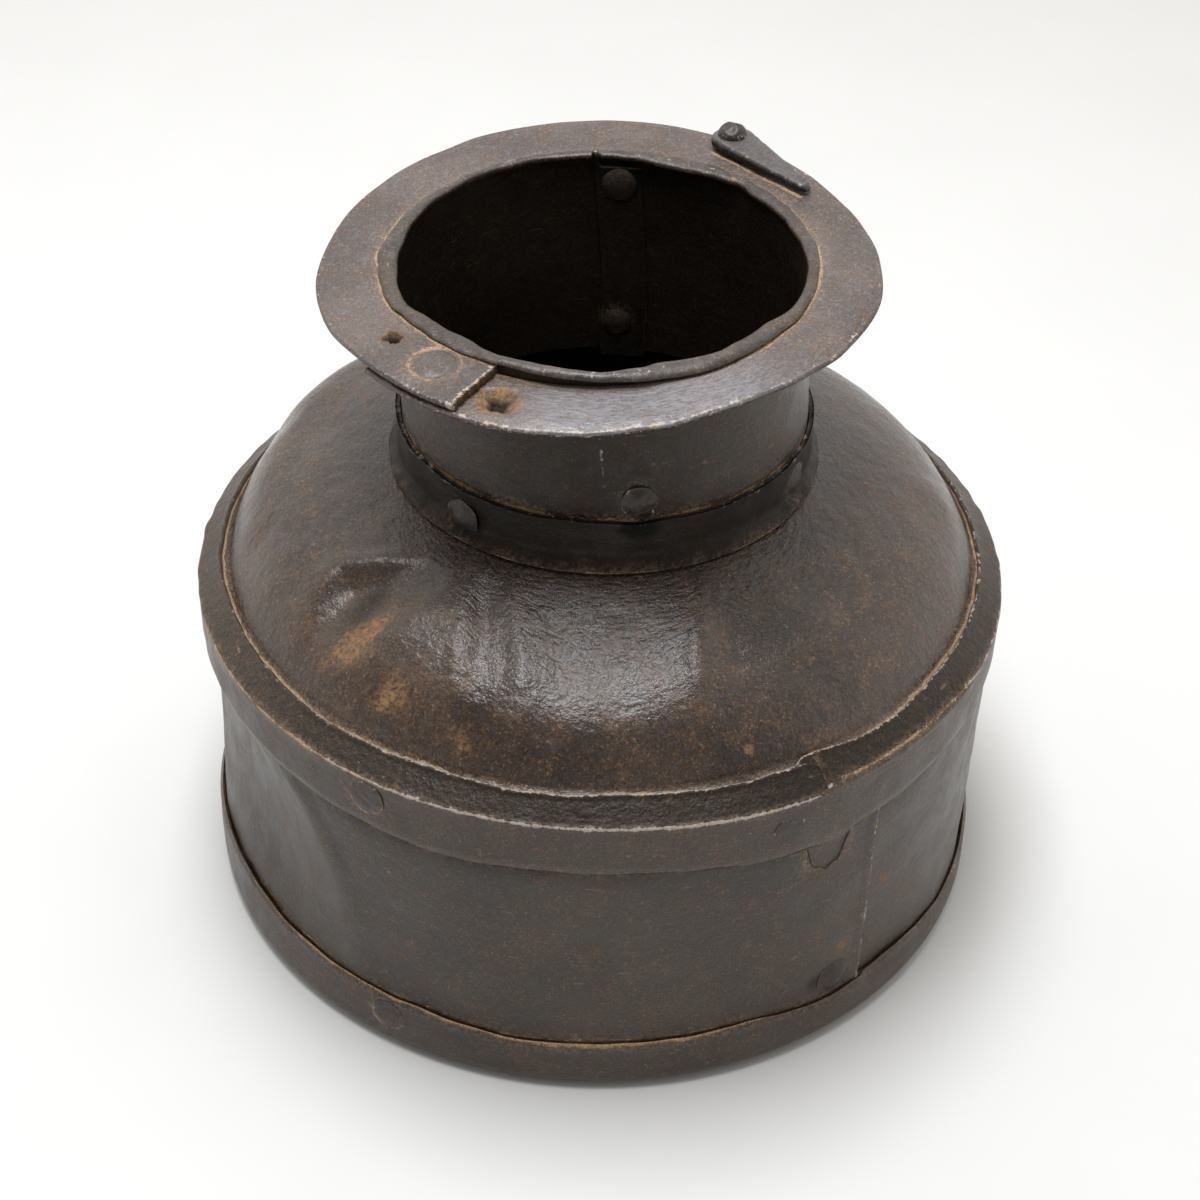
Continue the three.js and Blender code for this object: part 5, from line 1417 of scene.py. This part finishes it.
class Nodes:
    """A short way to write a material's node tree."""

    def __init__(self, material):
        material.use_nodes = True
        self.tree = material.node_tree
        self.tree.nodes.clear()

    def add(self, kind, **settings):
        """Adds a node and sets its own settings."""
        node = self.tree.nodes.new(kind)
        for key, value in settings.items():
            setattr(node, key, value)
        return node

    def link(self, socket, target):
        """Links an output to an input, or sets the input to a number or a colour."""
        if isinstance(socket, bpy.types.NodeSocket):
            self.tree.links.new(socket, target)
        else:
            target.default_value = socket

    def math(self, operation, first, second=0.0, third=0.0, clamp=False):
        """One step of arithmetic."""
        node = self.add("ShaderNodeMath", operation=operation, use_clamp=clamp)
        for place, value in enumerate((first, second, third)):
            self.link(value, node.inputs[place])
        return node.outputs[0]

    def plus(self, first, second, clamp=False):
        """Sum of two values."""
        return self.math("ADD", first, second, clamp=clamp)

    def minus(self, first, second):
        """Difference of two values."""
        return self.math("SUBTRACT", first, second)

    def times(self, first, second, clamp=False):
        """Product of two values."""
        return self.math("MULTIPLY", first, second, clamp=clamp)

    def ramp(self, value, low, high, start=0.0, end=1.0):
        """Smooth step of a value from low to high."""
        node = self.add("ShaderNodeMapRange", interpolation_type="SMOOTHSTEP")
        limits = (("From Min", low), ("From Max", high), ("To Min", start), ("To Max", end))
        for name, number in (("Value", value),) + limits:
            self.link(number, node.inputs[name])
        return node.outputs[0]

    def noise(self, where, size, detail=3.0, rough=0.55, warp=0.0):
        """Noise whose features are about size metres across."""
        node = self.add("ShaderNodeTexNoise")
        self.link(where, node.inputs["Vector"])
        node.inputs["Scale"].default_value = 1.0 / size
        node.inputs["Detail"].default_value = detail
        node.inputs["Roughness"].default_value = rough
        node.inputs["Distortion"].default_value = warp
        return node.outputs["Fac"]

    def cells(self, where, size):
        """Distance from, and random value of, the nearest of many scattered points."""
        node = self.add("ShaderNodeTexVoronoi")
        self.link(where, node.inputs["Vector"])
        node.inputs["Scale"].default_value = 1.0 / size
        split = self.add("ShaderNodeSeparateColor")
        self.link(node.outputs["Color"], split.inputs[0])
        return node.outputs["Distance"], split.outputs[0]

    def attribute(self, name):
        """A value painted on the points."""
        return self.add("ShaderNodeAttribute", attribute_name=name).outputs["Fac"]

    def mix(self, share, first, second):
        """Mixes two colours."""
        node = self.add("ShaderNodeMix", data_type="RGBA")
        self.link(share, node.inputs[0])
        self.link(first, node.inputs[6])
        self.link(second, node.inputs[7])
        return node.outputs[2]


def flowing(nodes, squeeze):
    """Coordinates that are even round the pot and squeezed across: (cos, sin) of the azimuth times the
    radius over squeeze, and the painted run, so that a pattern on them is drawn out round the pot."""
    where = nodes.add("ShaderNodeTexCoord").outputs["Object"]
    split = nodes.add("ShaderNodeSeparateXYZ")
    nodes.link(where, split.inputs[0])
    joined = nodes.add("ShaderNodeCombineXYZ")
    nodes.link(nodes.math("DIVIDE", split.outputs[0], squeeze), joined.inputs[0])
    nodes.link(nodes.math("DIVIDE", split.outputs[1], squeeze), joined.inputs[1])
    nodes.link(nodes.attribute("run"), joined.inputs[2])
    return joined.outputs[0]


def colour(value, factor=1.0):
    """A colour with an alpha of 1, made lighter or darker by a factor."""
    return tuple(min(part * factor, 1.0) for part in value) + (1.0,)


def make_iron(slot, base, irons, look):
    """Old oxidised iron. look holds the shares of warm brown, cool scale, brown patches, speckles, scratches
    and dark pits (warm, cool, patch, speckle, scratch, pitted), the roughness (rough), the depth and the size
    in metres of the drawn-out relief (wrinkle, fibre), the size of a patch (patchy) and the IOR of the oily
    skin (gloss)."""
    material = bpy.data.materials.new("old_" + slot)
    nodes = Nodes(material)
    where = nodes.add("ShaderNodeTexCoord").outputs["Object"]
    seam = nodes.attribute("seam")
    wear = nodes.attribute("wear")
    rust = nodes.attribute("rust")
    grime = nodes.attribute("grime")
    polish = nodes.attribute("polish")

    broad = nodes.noise(where, 0.045, 4.0, 0.6)
    middle = nodes.noise(where, 0.012, 5.0, 0.62, 0.4)
    patch = nodes.noise(where, look["patchy"], 3.0, 0.62)
    grain = nodes.noise(where, 0.0016, 4.0, 0.7)
    fine = nodes.noise(where, 0.00065, 2.0, 0.6)
    fibre = nodes.noise(flowing(nodes, 3.6), look["fibre"], 4.0, 0.62)
    scratch = nodes.noise(flowing(nodes, 26.0), 0.0006, 2.0, 0.5)

    shade = nodes.mix(nodes.ramp(broad, 0.36, 0.64), colour(base, 0.68), colour(base, 1.30))
    cool_share = nodes.times(nodes.ramp(patch, 0.50, 0.36), look["cool"])
    shade = nodes.mix(cool_share, shade, colour(irons.cool))
    rust_brown = nodes.times(rust, 0.55)
    brown_share = nodes.plus(nodes.ramp(middle, 0.42, 0.78, 0.0, look["warm"]), rust_brown)
    brown_share = nodes.plus(brown_share, nodes.ramp(patch, 0.50, 0.68, 0.0, look["patch"]))
    brown_share = nodes.times(brown_share, nodes.ramp(grain, 0.3, 0.68, 0.25, 1.0), clamp=True)
    shade = nodes.mix(brown_share, shade, colour(irons.brown))

    fleck = nodes.noise(where, 0.0009, 2.0, 0.5)
    fleck_area = nodes.ramp(middle, 0.35, 0.65, 0.3, 1.0)
    fleck_share = nodes.times(nodes.ramp(fleck, 0.58, 0.70), fleck_area)
    shade = nodes.mix(nodes.times(fleck_share, look["speckle"]), shade, colour(irons.brown, 2.2))
    lighter = nodes.add("ShaderNodeVectorMath", operation="SCALE")
    nodes.link(shade, lighter.inputs[0])
    nodes.link(nodes.ramp(fine, 0.32, 0.68, 0.66, 1.42), lighter.inputs["Scale"])
    shade = lighter.outputs[0]

    pitted = nodes.times(nodes.ramp(grain, 0.40, 0.30), look["pitted"])
    shade = nodes.mix(pitted, shade, colour(base, 0.35))

    orange_edge = nodes.plus(rust, nodes.times(nodes.minus(middle, 0.5), 1.5))
    orange_grain = nodes.ramp(grain, 0.36, 0.62)
    orange_share = nodes.times(nodes.ramp(orange_edge, 0.62, 1.15), orange_grain, clamp=True)
    shade = nodes.mix(orange_share, shade, colour(irons.orange, 0.75))

    spot_distance, spot_chance = nodes.cells(where, 0.017)
    spot_edge = nodes.plus(spot_distance, nodes.times(grain, 0.10))
    spot_drawn = nodes.ramp(spot_chance, 0.74, 0.78)
    spot_share = nodes.times(nodes.ramp(spot_edge, 0.12, 0.08), spot_drawn)
    shade = nodes.mix(nodes.times(spot_share, 0.6), shade, colour(irons.orange, 0.9))

    pale_distance, pale_chance = nodes.cells(where, 0.0044)
    pale_drawn = nodes.ramp(pale_chance, 0.62, 0.66)
    pale = nodes.times(nodes.ramp(pale_distance, 0.085, 0.045), pale_drawn)
    scratch_area = nodes.ramp(patch, 0.48, 0.60, 0.0, look["scratch"])
    scratched = nodes.times(nodes.ramp(scratch, 0.66, 0.72), scratch_area)
    pale = nodes.math("MAXIMUM", nodes.times(pale, 0.6), scratched)
    shade = nodes.mix(pale, shade, colour(irons.dust, 0.9))

    # Painted shade and some dark tone: the painted dark layer mixes the soot colour into the iron.
    dark = nodes.times(grime, nodes.ramp(middle, 0.25, 0.7, 0.75, 1.0), clamp=True)
    shade = nodes.mix(dark, shade, colour(irons.soot))

    ragged = nodes.times(nodes.minus(grain, 0.5), 3.4)
    uneven = nodes.times(nodes.minus(middle, 0.5), 3.0)
    from_seam = nodes.plus(nodes.math("ABSOLUTE", seam), nodes.plus(ragged, uneven))
    dust = nodes.times(nodes.ramp(from_seam, 1.05, 0.35), nodes.ramp(grain, 0.25, 0.6, 0.45, 1.0))
    around_seam = nodes.plus(nodes.math("ABSOLUTE", seam), nodes.times(uneven, 2.0))
    haze = nodes.times(nodes.ramp(around_seam, 5.0, 0.0, 0.0, 0.30), nodes.ramp(grain, 0.4, 0.66))
    dust_colour = nodes.mix(nodes.ramp(fine, 0.35, 0.65), colour(irons.dust, 0.7), colour(irons.dust, 1.25))
    shade = nodes.mix(nodes.math("MAXIMUM", dust, haze), shade, dust_colour)

    # Polish lowers the roughness and also paints a pale blue sheen, a painted highlight.
    polish_and_sheen_share = nodes.times(polish, nodes.ramp(fibre, 0.36, 0.64, 0.25, 1.0))
    shade = nodes.mix(polish_and_sheen_share, shade, colour(irons.cool, 2.1))

    rubbed = nodes.plus(wear, nodes.times(nodes.minus(grain, 0.5), 1.9))
    rubbed = nodes.plus(rubbed, nodes.times(nodes.minus(patch, 0.5), 1.3))
    rubbed = nodes.times(nodes.ramp(rubbed, 0.36, 0.66), nodes.ramp(wear, 0.02, 0.12))
    rubbed_colour = nodes.mix(nodes.ramp(fine, 0.36, 0.58), colour(irons.dust, 0.95), colour(irons.bare))
    shade = nodes.mix(nodes.times(rubbed, 0.88), shade, rubbed_colour)

    sheen = look["rough"]
    rough = nodes.ramp(middle, 0.3, 0.7, sheen - 0.06, sheen + 0.07)
    rough = nodes.plus(rough, nodes.times(brown_share, 0.12))
    rough = nodes.minus(rough, nodes.times(polish_and_sheen_share, 0.22))
    dull = nodes.times(nodes.math("MAXIMUM", dust, orange_share), 0.4)
    rough = nodes.plus(rough, dull, clamp=True)

    crinkle = nodes.math("MULTIPLY_ADD", nodes.attribute("crinkle"), 0.0006, look["wrinkle"])
    height = nodes.times(nodes.minus(fibre, 0.5), crinkle)
    height = nodes.plus(height, nodes.times(nodes.minus(grain, 0.5), 0.00018))
    height = nodes.plus(height, nodes.times(nodes.minus(fine, 0.5), 0.00006))
    height = nodes.plus(height, nodes.times(nodes.minus(middle, 0.5), 0.0005))
    height = nodes.plus(height, nodes.times(dust, 0.00022))
    height = nodes.minus(height, nodes.times(orange_share, 0.0002))
    bump = nodes.add("ShaderNodeBump")
    bump.inputs["Strength"].default_value = 1.0
    bump.inputs["Distance"].default_value = 1.0
    nodes.link(height, bump.inputs["Height"])

    shader = nodes.add("ShaderNodeBsdfPrincipled")
    nodes.link(shade, shader.inputs["Base Color"])
    nodes.link(rough, shader.inputs["Roughness"])
    nodes.link(bump.outputs[0], shader.inputs["Normal"])
    # Where the dark layer paints shade, the specular level is lowered too, so the painted shade also dims
    # reflections.
    nodes.link(nodes.ramp(dark, 0.0, 1.0, 0.5, 0.10), shader.inputs["Specular IOR Level"])
    shader.inputs["IOR"].default_value = look["gloss"]
    output = nodes.add("ShaderNodeOutputMaterial")
    nodes.link(shader.outputs[0], output.inputs["Surface"])
    return material


def make_floor_paint(stage):
    """Plain pale floor with a hardly visible unevenness."""
    material = bpy.data.materials.new("pale_floor")
    nodes = Nodes(material)
    where = nodes.add("ShaderNodeTexCoord").outputs["Object"]
    cloud = nodes.noise(where, 0.12, 3.0, 0.6)
    pale, dimmer = colour(stage.floor_colour), colour(stage.floor_colour, 0.98)
    shade = nodes.mix(nodes.ramp(cloud, 0.3, 0.7), dimmer, pale)
    shader = nodes.add("ShaderNodeBsdfPrincipled")
    nodes.link(shade, shader.inputs["Base Color"])
    shader.inputs["Roughness"].default_value = 0.85
    output = nodes.add("ShaderNodeOutputMaterial")
    nodes.link(shader.outputs[0], output.inputs["Surface"])
    return material


# Operators


class POT_OT_irons(bpy.types.Operator):
    """Makes the four irons."""

    bl_idname = "pot.irons"
    bl_label = "Irons"

    def execute(self, context):
        irons = context.scene.pot_irons
        for slot, look in LOOKS.items():
            make_iron(slot, getattr(irons, slot.split("_")[0]), irons, look)
        return {"FINISHED"}


class PieceOperator:
    """Builds one piece from the pot's sizes."""

    def execute(self, context):
        self.build(context.scene.pot_sizes)
        return {"FINISHED"}


class POT_OT_base_pan(PieceOperator, bpy.types.Operator):
    """Builds the pan under the drum."""

    bl_idname = "pot.base_pan"
    bl_label = "Base pan"
    build = staticmethod(build_pan)


class POT_OT_drum_wall(PieceOperator, bpy.types.Operator):
    """Builds the drum."""

    bl_idname = "pot.drum_wall"
    bl_label = "Drum wall"
    build = staticmethod(build_drum)


class POT_OT_shoulder_hoop(PieceOperator, bpy.types.Operator):
    """Builds the hoop over the shoulder."""

    bl_idname = "pot.shoulder_hoop"
    bl_label = "Shoulder hoop"
    build = staticmethod(build_hoop)


class POT_OT_shoulder_dome(PieceOperator, bpy.types.Operator):
    """Builds the dome."""

    bl_idname = "pot.shoulder_dome"
    bl_label = "Shoulder dome"
    build = staticmethod(build_dome)


class POT_OT_neck_collar(PieceOperator, bpy.types.Operator):
    """Builds the collar."""

    bl_idname = "pot.neck_collar"
    bl_label = "Neck collar"
    build = staticmethod(build_collar)


class POT_OT_neck(PieceOperator, bpy.types.Operator):
    """Builds the neck and its lip."""

    bl_idname = "pot.neck"
    bl_label = "Neck"
    build = staticmethod(build_neck)


class POT_OT_rim_ring(PieceOperator, bpy.types.Operator):
    """Builds the ring round the mouth."""

    bl_idname = "pot.rim_ring"
    bl_label = "Rim ring"
    build = staticmethod(build_ring)


class POT_OT_catch(bpy.types.Operator):
    """Builds the swivelling tongue of the catch."""

    bl_idname = "pot.catch"
    bl_label = "Catch"

    def execute(self, context):
        build_tongue()
        return {"FINISHED"}


class POT_OT_rivets(bpy.types.Operator):
    """Builds the rivets of the walls and of the mouth."""

    bl_idname = "pot.rivets"
    bl_label = "Rivets"

    def execute(self, context):
        sizes = context.scene.pot_sizes
        for seed, (node, azimuth, radius, z, shape) in enumerate(wall_rivets(sizes), 200):
            at = around(azimuth, radius, z)
            out = around(azimuth, 1.0, 0.0)
            rusty = 0.4 if node == "drum_seam_rivet" else 0.12
            dusty = node.startswith(("hoop_rivet", "base_rivet"))
            build_rivet(f"{node}_fine", node, "rivet_iron", at, out, shape, seed, dusty, rusty)
        up = mouth_matrix().to_3x3() @ Vector((0.0, 0.0, 1.0))
        lap_top = sizes.rim_plate + sizes.gap
        at = to_mouth(around(LAP_RIVET[0], LAP_RIVET[1], lap_top - 0.25 * MM))
        grip = 2.0 * sizes.rim_plate + sizes.gap
        shape = (LAP_RIVET[2], 0.8 * MM, (5.0, 1.0), grip, 5.5 * MM, 1.3 * MM, 3.0 * MM)
        build_rivet("rim_lap_rivet_fine", "rim_lap_rivet", "rim_iron", at, up, shape, 230, False)
        at = to_mouth(around(CATCH_AZIMUTH, CATCH_RADIUS, CATCH_HEAD_FOOT))
        grip = CATCH_HEAD_FOOT + sizes.rim_plate
        shape = (5.5 * MM, 4.4 * MM, DOMED, grip, 5.5 * MM, 1.3 * MM, 3.0 * MM)
        build_rivet("catch_rivet_fine", "catch_rivet", "rivet_iron", at, up, shape, 231, False)
        out = around(NECK_SEAM_RIVET[0], 1.0, 0.0)
        at = to_mouth(around(NECK_SEAM_RIVET[0], sizes.neck_radius, NECK_SEAM_RIVET[1]))
        grip = 2.0 * sizes.neck_sheet + sizes.gap + RIVET_PLAY
        shape = (HEAD_COLLAR, 1.4 * MM, SOFT, grip, 6.5 * MM, 1.5 * MM, 3.0 * MM)
        build_rivet("neck_seam_rivet_fine", "neck_seam_rivet", "rivet_iron", at, out, shape, 232)
        return {"FINISHED"}


class POT_OT_stage(bpy.types.Operator):
    """Lays the floor and sets the lights and the camera."""

    bl_idname = "pot.stage"
    bl_label = "Stage"

    def execute(self, context):
        stage = context.scene.pot_stage
        lay_floor(stage)
        hang_lights(stage)
        place_camera(stage)
        return {"FINISHED"}


def lay_floor(stage):
    """A flat floor of 6 m, as one grid."""
    half = 3.0
    points = np.array(((-half, -half, 0.0), (half, -half, 0.0), (half, half, 0.0), (-half, half, 0.0)))
    mesh = bpy.data.meshes.new("floor")
    mesh.from_pydata(points.tolist(), [], [(0, 1, 2, 3)])
    floor = bpy.data.objects.new("floor", mesh)
    bpy.context.scene.collection.objects.link(floor)
    mesh.materials.append(make_floor_paint(stage))


def hang_light(name, place, aim, size, power, tint):
    """A rectangular area light at a place, turned to an aim."""
    light = bpy.data.lights.new(name, "AREA")
    light.shape = "RECTANGLE"
    light.size, light.size_y = size
    light.energy = power
    light.color = tint
    lamp = bpy.data.objects.new(name, light)
    bpy.context.scene.collection.objects.link(lamp)
    lamp.location = place
    lamp.rotation_euler = (Vector(aim) - Vector(place)).to_track_quat("-Z", "Y").to_euler()


def hang_lights(stage):
    """A soft light overhead, and a sky that is bright at the back and sides and dim at the viewer's side."""
    place = (-0.14, 0.0, 1.55)
    hang_light("overhead", place, (-0.14, 0.0, 0.0), (0.48, 0.98), stage.key_power, (0.97, 0.98, 1.0))
    world = bpy.data.worlds.new("studio")
    bpy.context.scene.world = world
    nodes = Nodes(world)
    direction = nodes.add("ShaderNodeTexCoord").outputs["Generated"]
    split = nodes.add("ShaderNodeSeparateXYZ")
    nodes.link(direction, split.inputs[0])
    background = nodes.add("ShaderNodeBackground")
    background.inputs["Color"].default_value = (1.0, 0.970, 0.940, 1.0)
    towards_back = nodes.math("MULTIPLY_ADD", split.outputs[0], 0.2, split.outputs[1])
    strength = nodes.ramp(towards_back, -0.75, 0.15, stage.front_sky, stage.sky)
    nodes.link(strength, background.inputs["Strength"])
    output = nodes.add("ShaderNodeOutputWorld")
    nodes.link(background.outputs[0], output.inputs["Surface"])
    bpy.context.scene.view_settings.view_transform = "Standard"


def place_camera(stage):
    """The photograph's view: 38 degrees down, rolled by 1.6 degrees, the frame shifted a little up."""
    camera = bpy.data.cameras.new("camera")
    camera.lens = stage.lens
    camera.sensor_width = 36.0
    camera.shift_y = -0.0164
    holder = bpy.data.objects.new("camera", camera)
    bpy.context.scene.collection.objects.link(holder)
    pitch, roll = math.radians(38.24), math.radians(1.56)
    look = Vector((0.0, 0.0, 0.116))
    distance = 0.86518
    holder.location = look - distance * Vector((0.0, math.cos(pitch), -math.sin(pitch)))
    turned = Matrix.Rotation(math.radians(90.0) - pitch, 4, "X") @ Matrix.Rotation(roll, 4, "Z")
    holder.rotation_euler = turned.to_euler()
    bpy.context.scene.camera = holder


BUILDERS = (
    POT_OT_irons, POT_OT_base_pan, POT_OT_drum_wall, POT_OT_shoulder_hoop, POT_OT_shoulder_dome,
    POT_OT_neck_collar, POT_OT_neck, POT_OT_rim_ring, POT_OT_catch, POT_OT_rivets, POT_OT_stage,
)


class POT_PT_sidebar(bpy.types.Panel):
    """Lists the pot's builders and their settings."""

    bl_label = "Iron Water Pot"
    bl_idname = "POT_PT_sidebar"
    bl_space_type = "VIEW_3D"
    bl_region_type = "UI"
    bl_category = "Water Pot"

    def draw(self, context):
        for builder in BUILDERS:
            self.layout.operator(builder.bl_idname)
        for group in (context.scene.pot_sizes, context.scene.pot_irons, context.scene.pot_stage):
            box = self.layout.box()
            for name in group.__annotations__:
                box.prop(group, name)


CLASSES = (PotSizes, PotIrons, PotStage) + BUILDERS + (POT_PT_sidebar,)


def register():
    """Registers the classes and hangs the settings on the scene."""
    for item in CLASSES:
        bpy.utils.register_class(item)
    bpy.types.Scene.pot_sizes = PointerProperty(type=PotSizes)
    bpy.types.Scene.pot_irons = PointerProperty(type=PotIrons)
    bpy.types.Scene.pot_stage = PointerProperty(type=PotStage)


def unregister():
    """Takes the settings and the classes away again."""
    del bpy.types.Scene.pot_stage
    del bpy.types.Scene.pot_irons
    del bpy.types.Scene.pot_sizes
    for item in reversed(CLASSES):
        bpy.utils.unregister_class(item)


def main():
    """Registers the add-on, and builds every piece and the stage."""
    register()
    for builder in BUILDERS:
        group, name = builder.bl_idname.split(".")
        getattr(getattr(bpy.ops, group), name)()


if __name__ == "__main__":
    main()
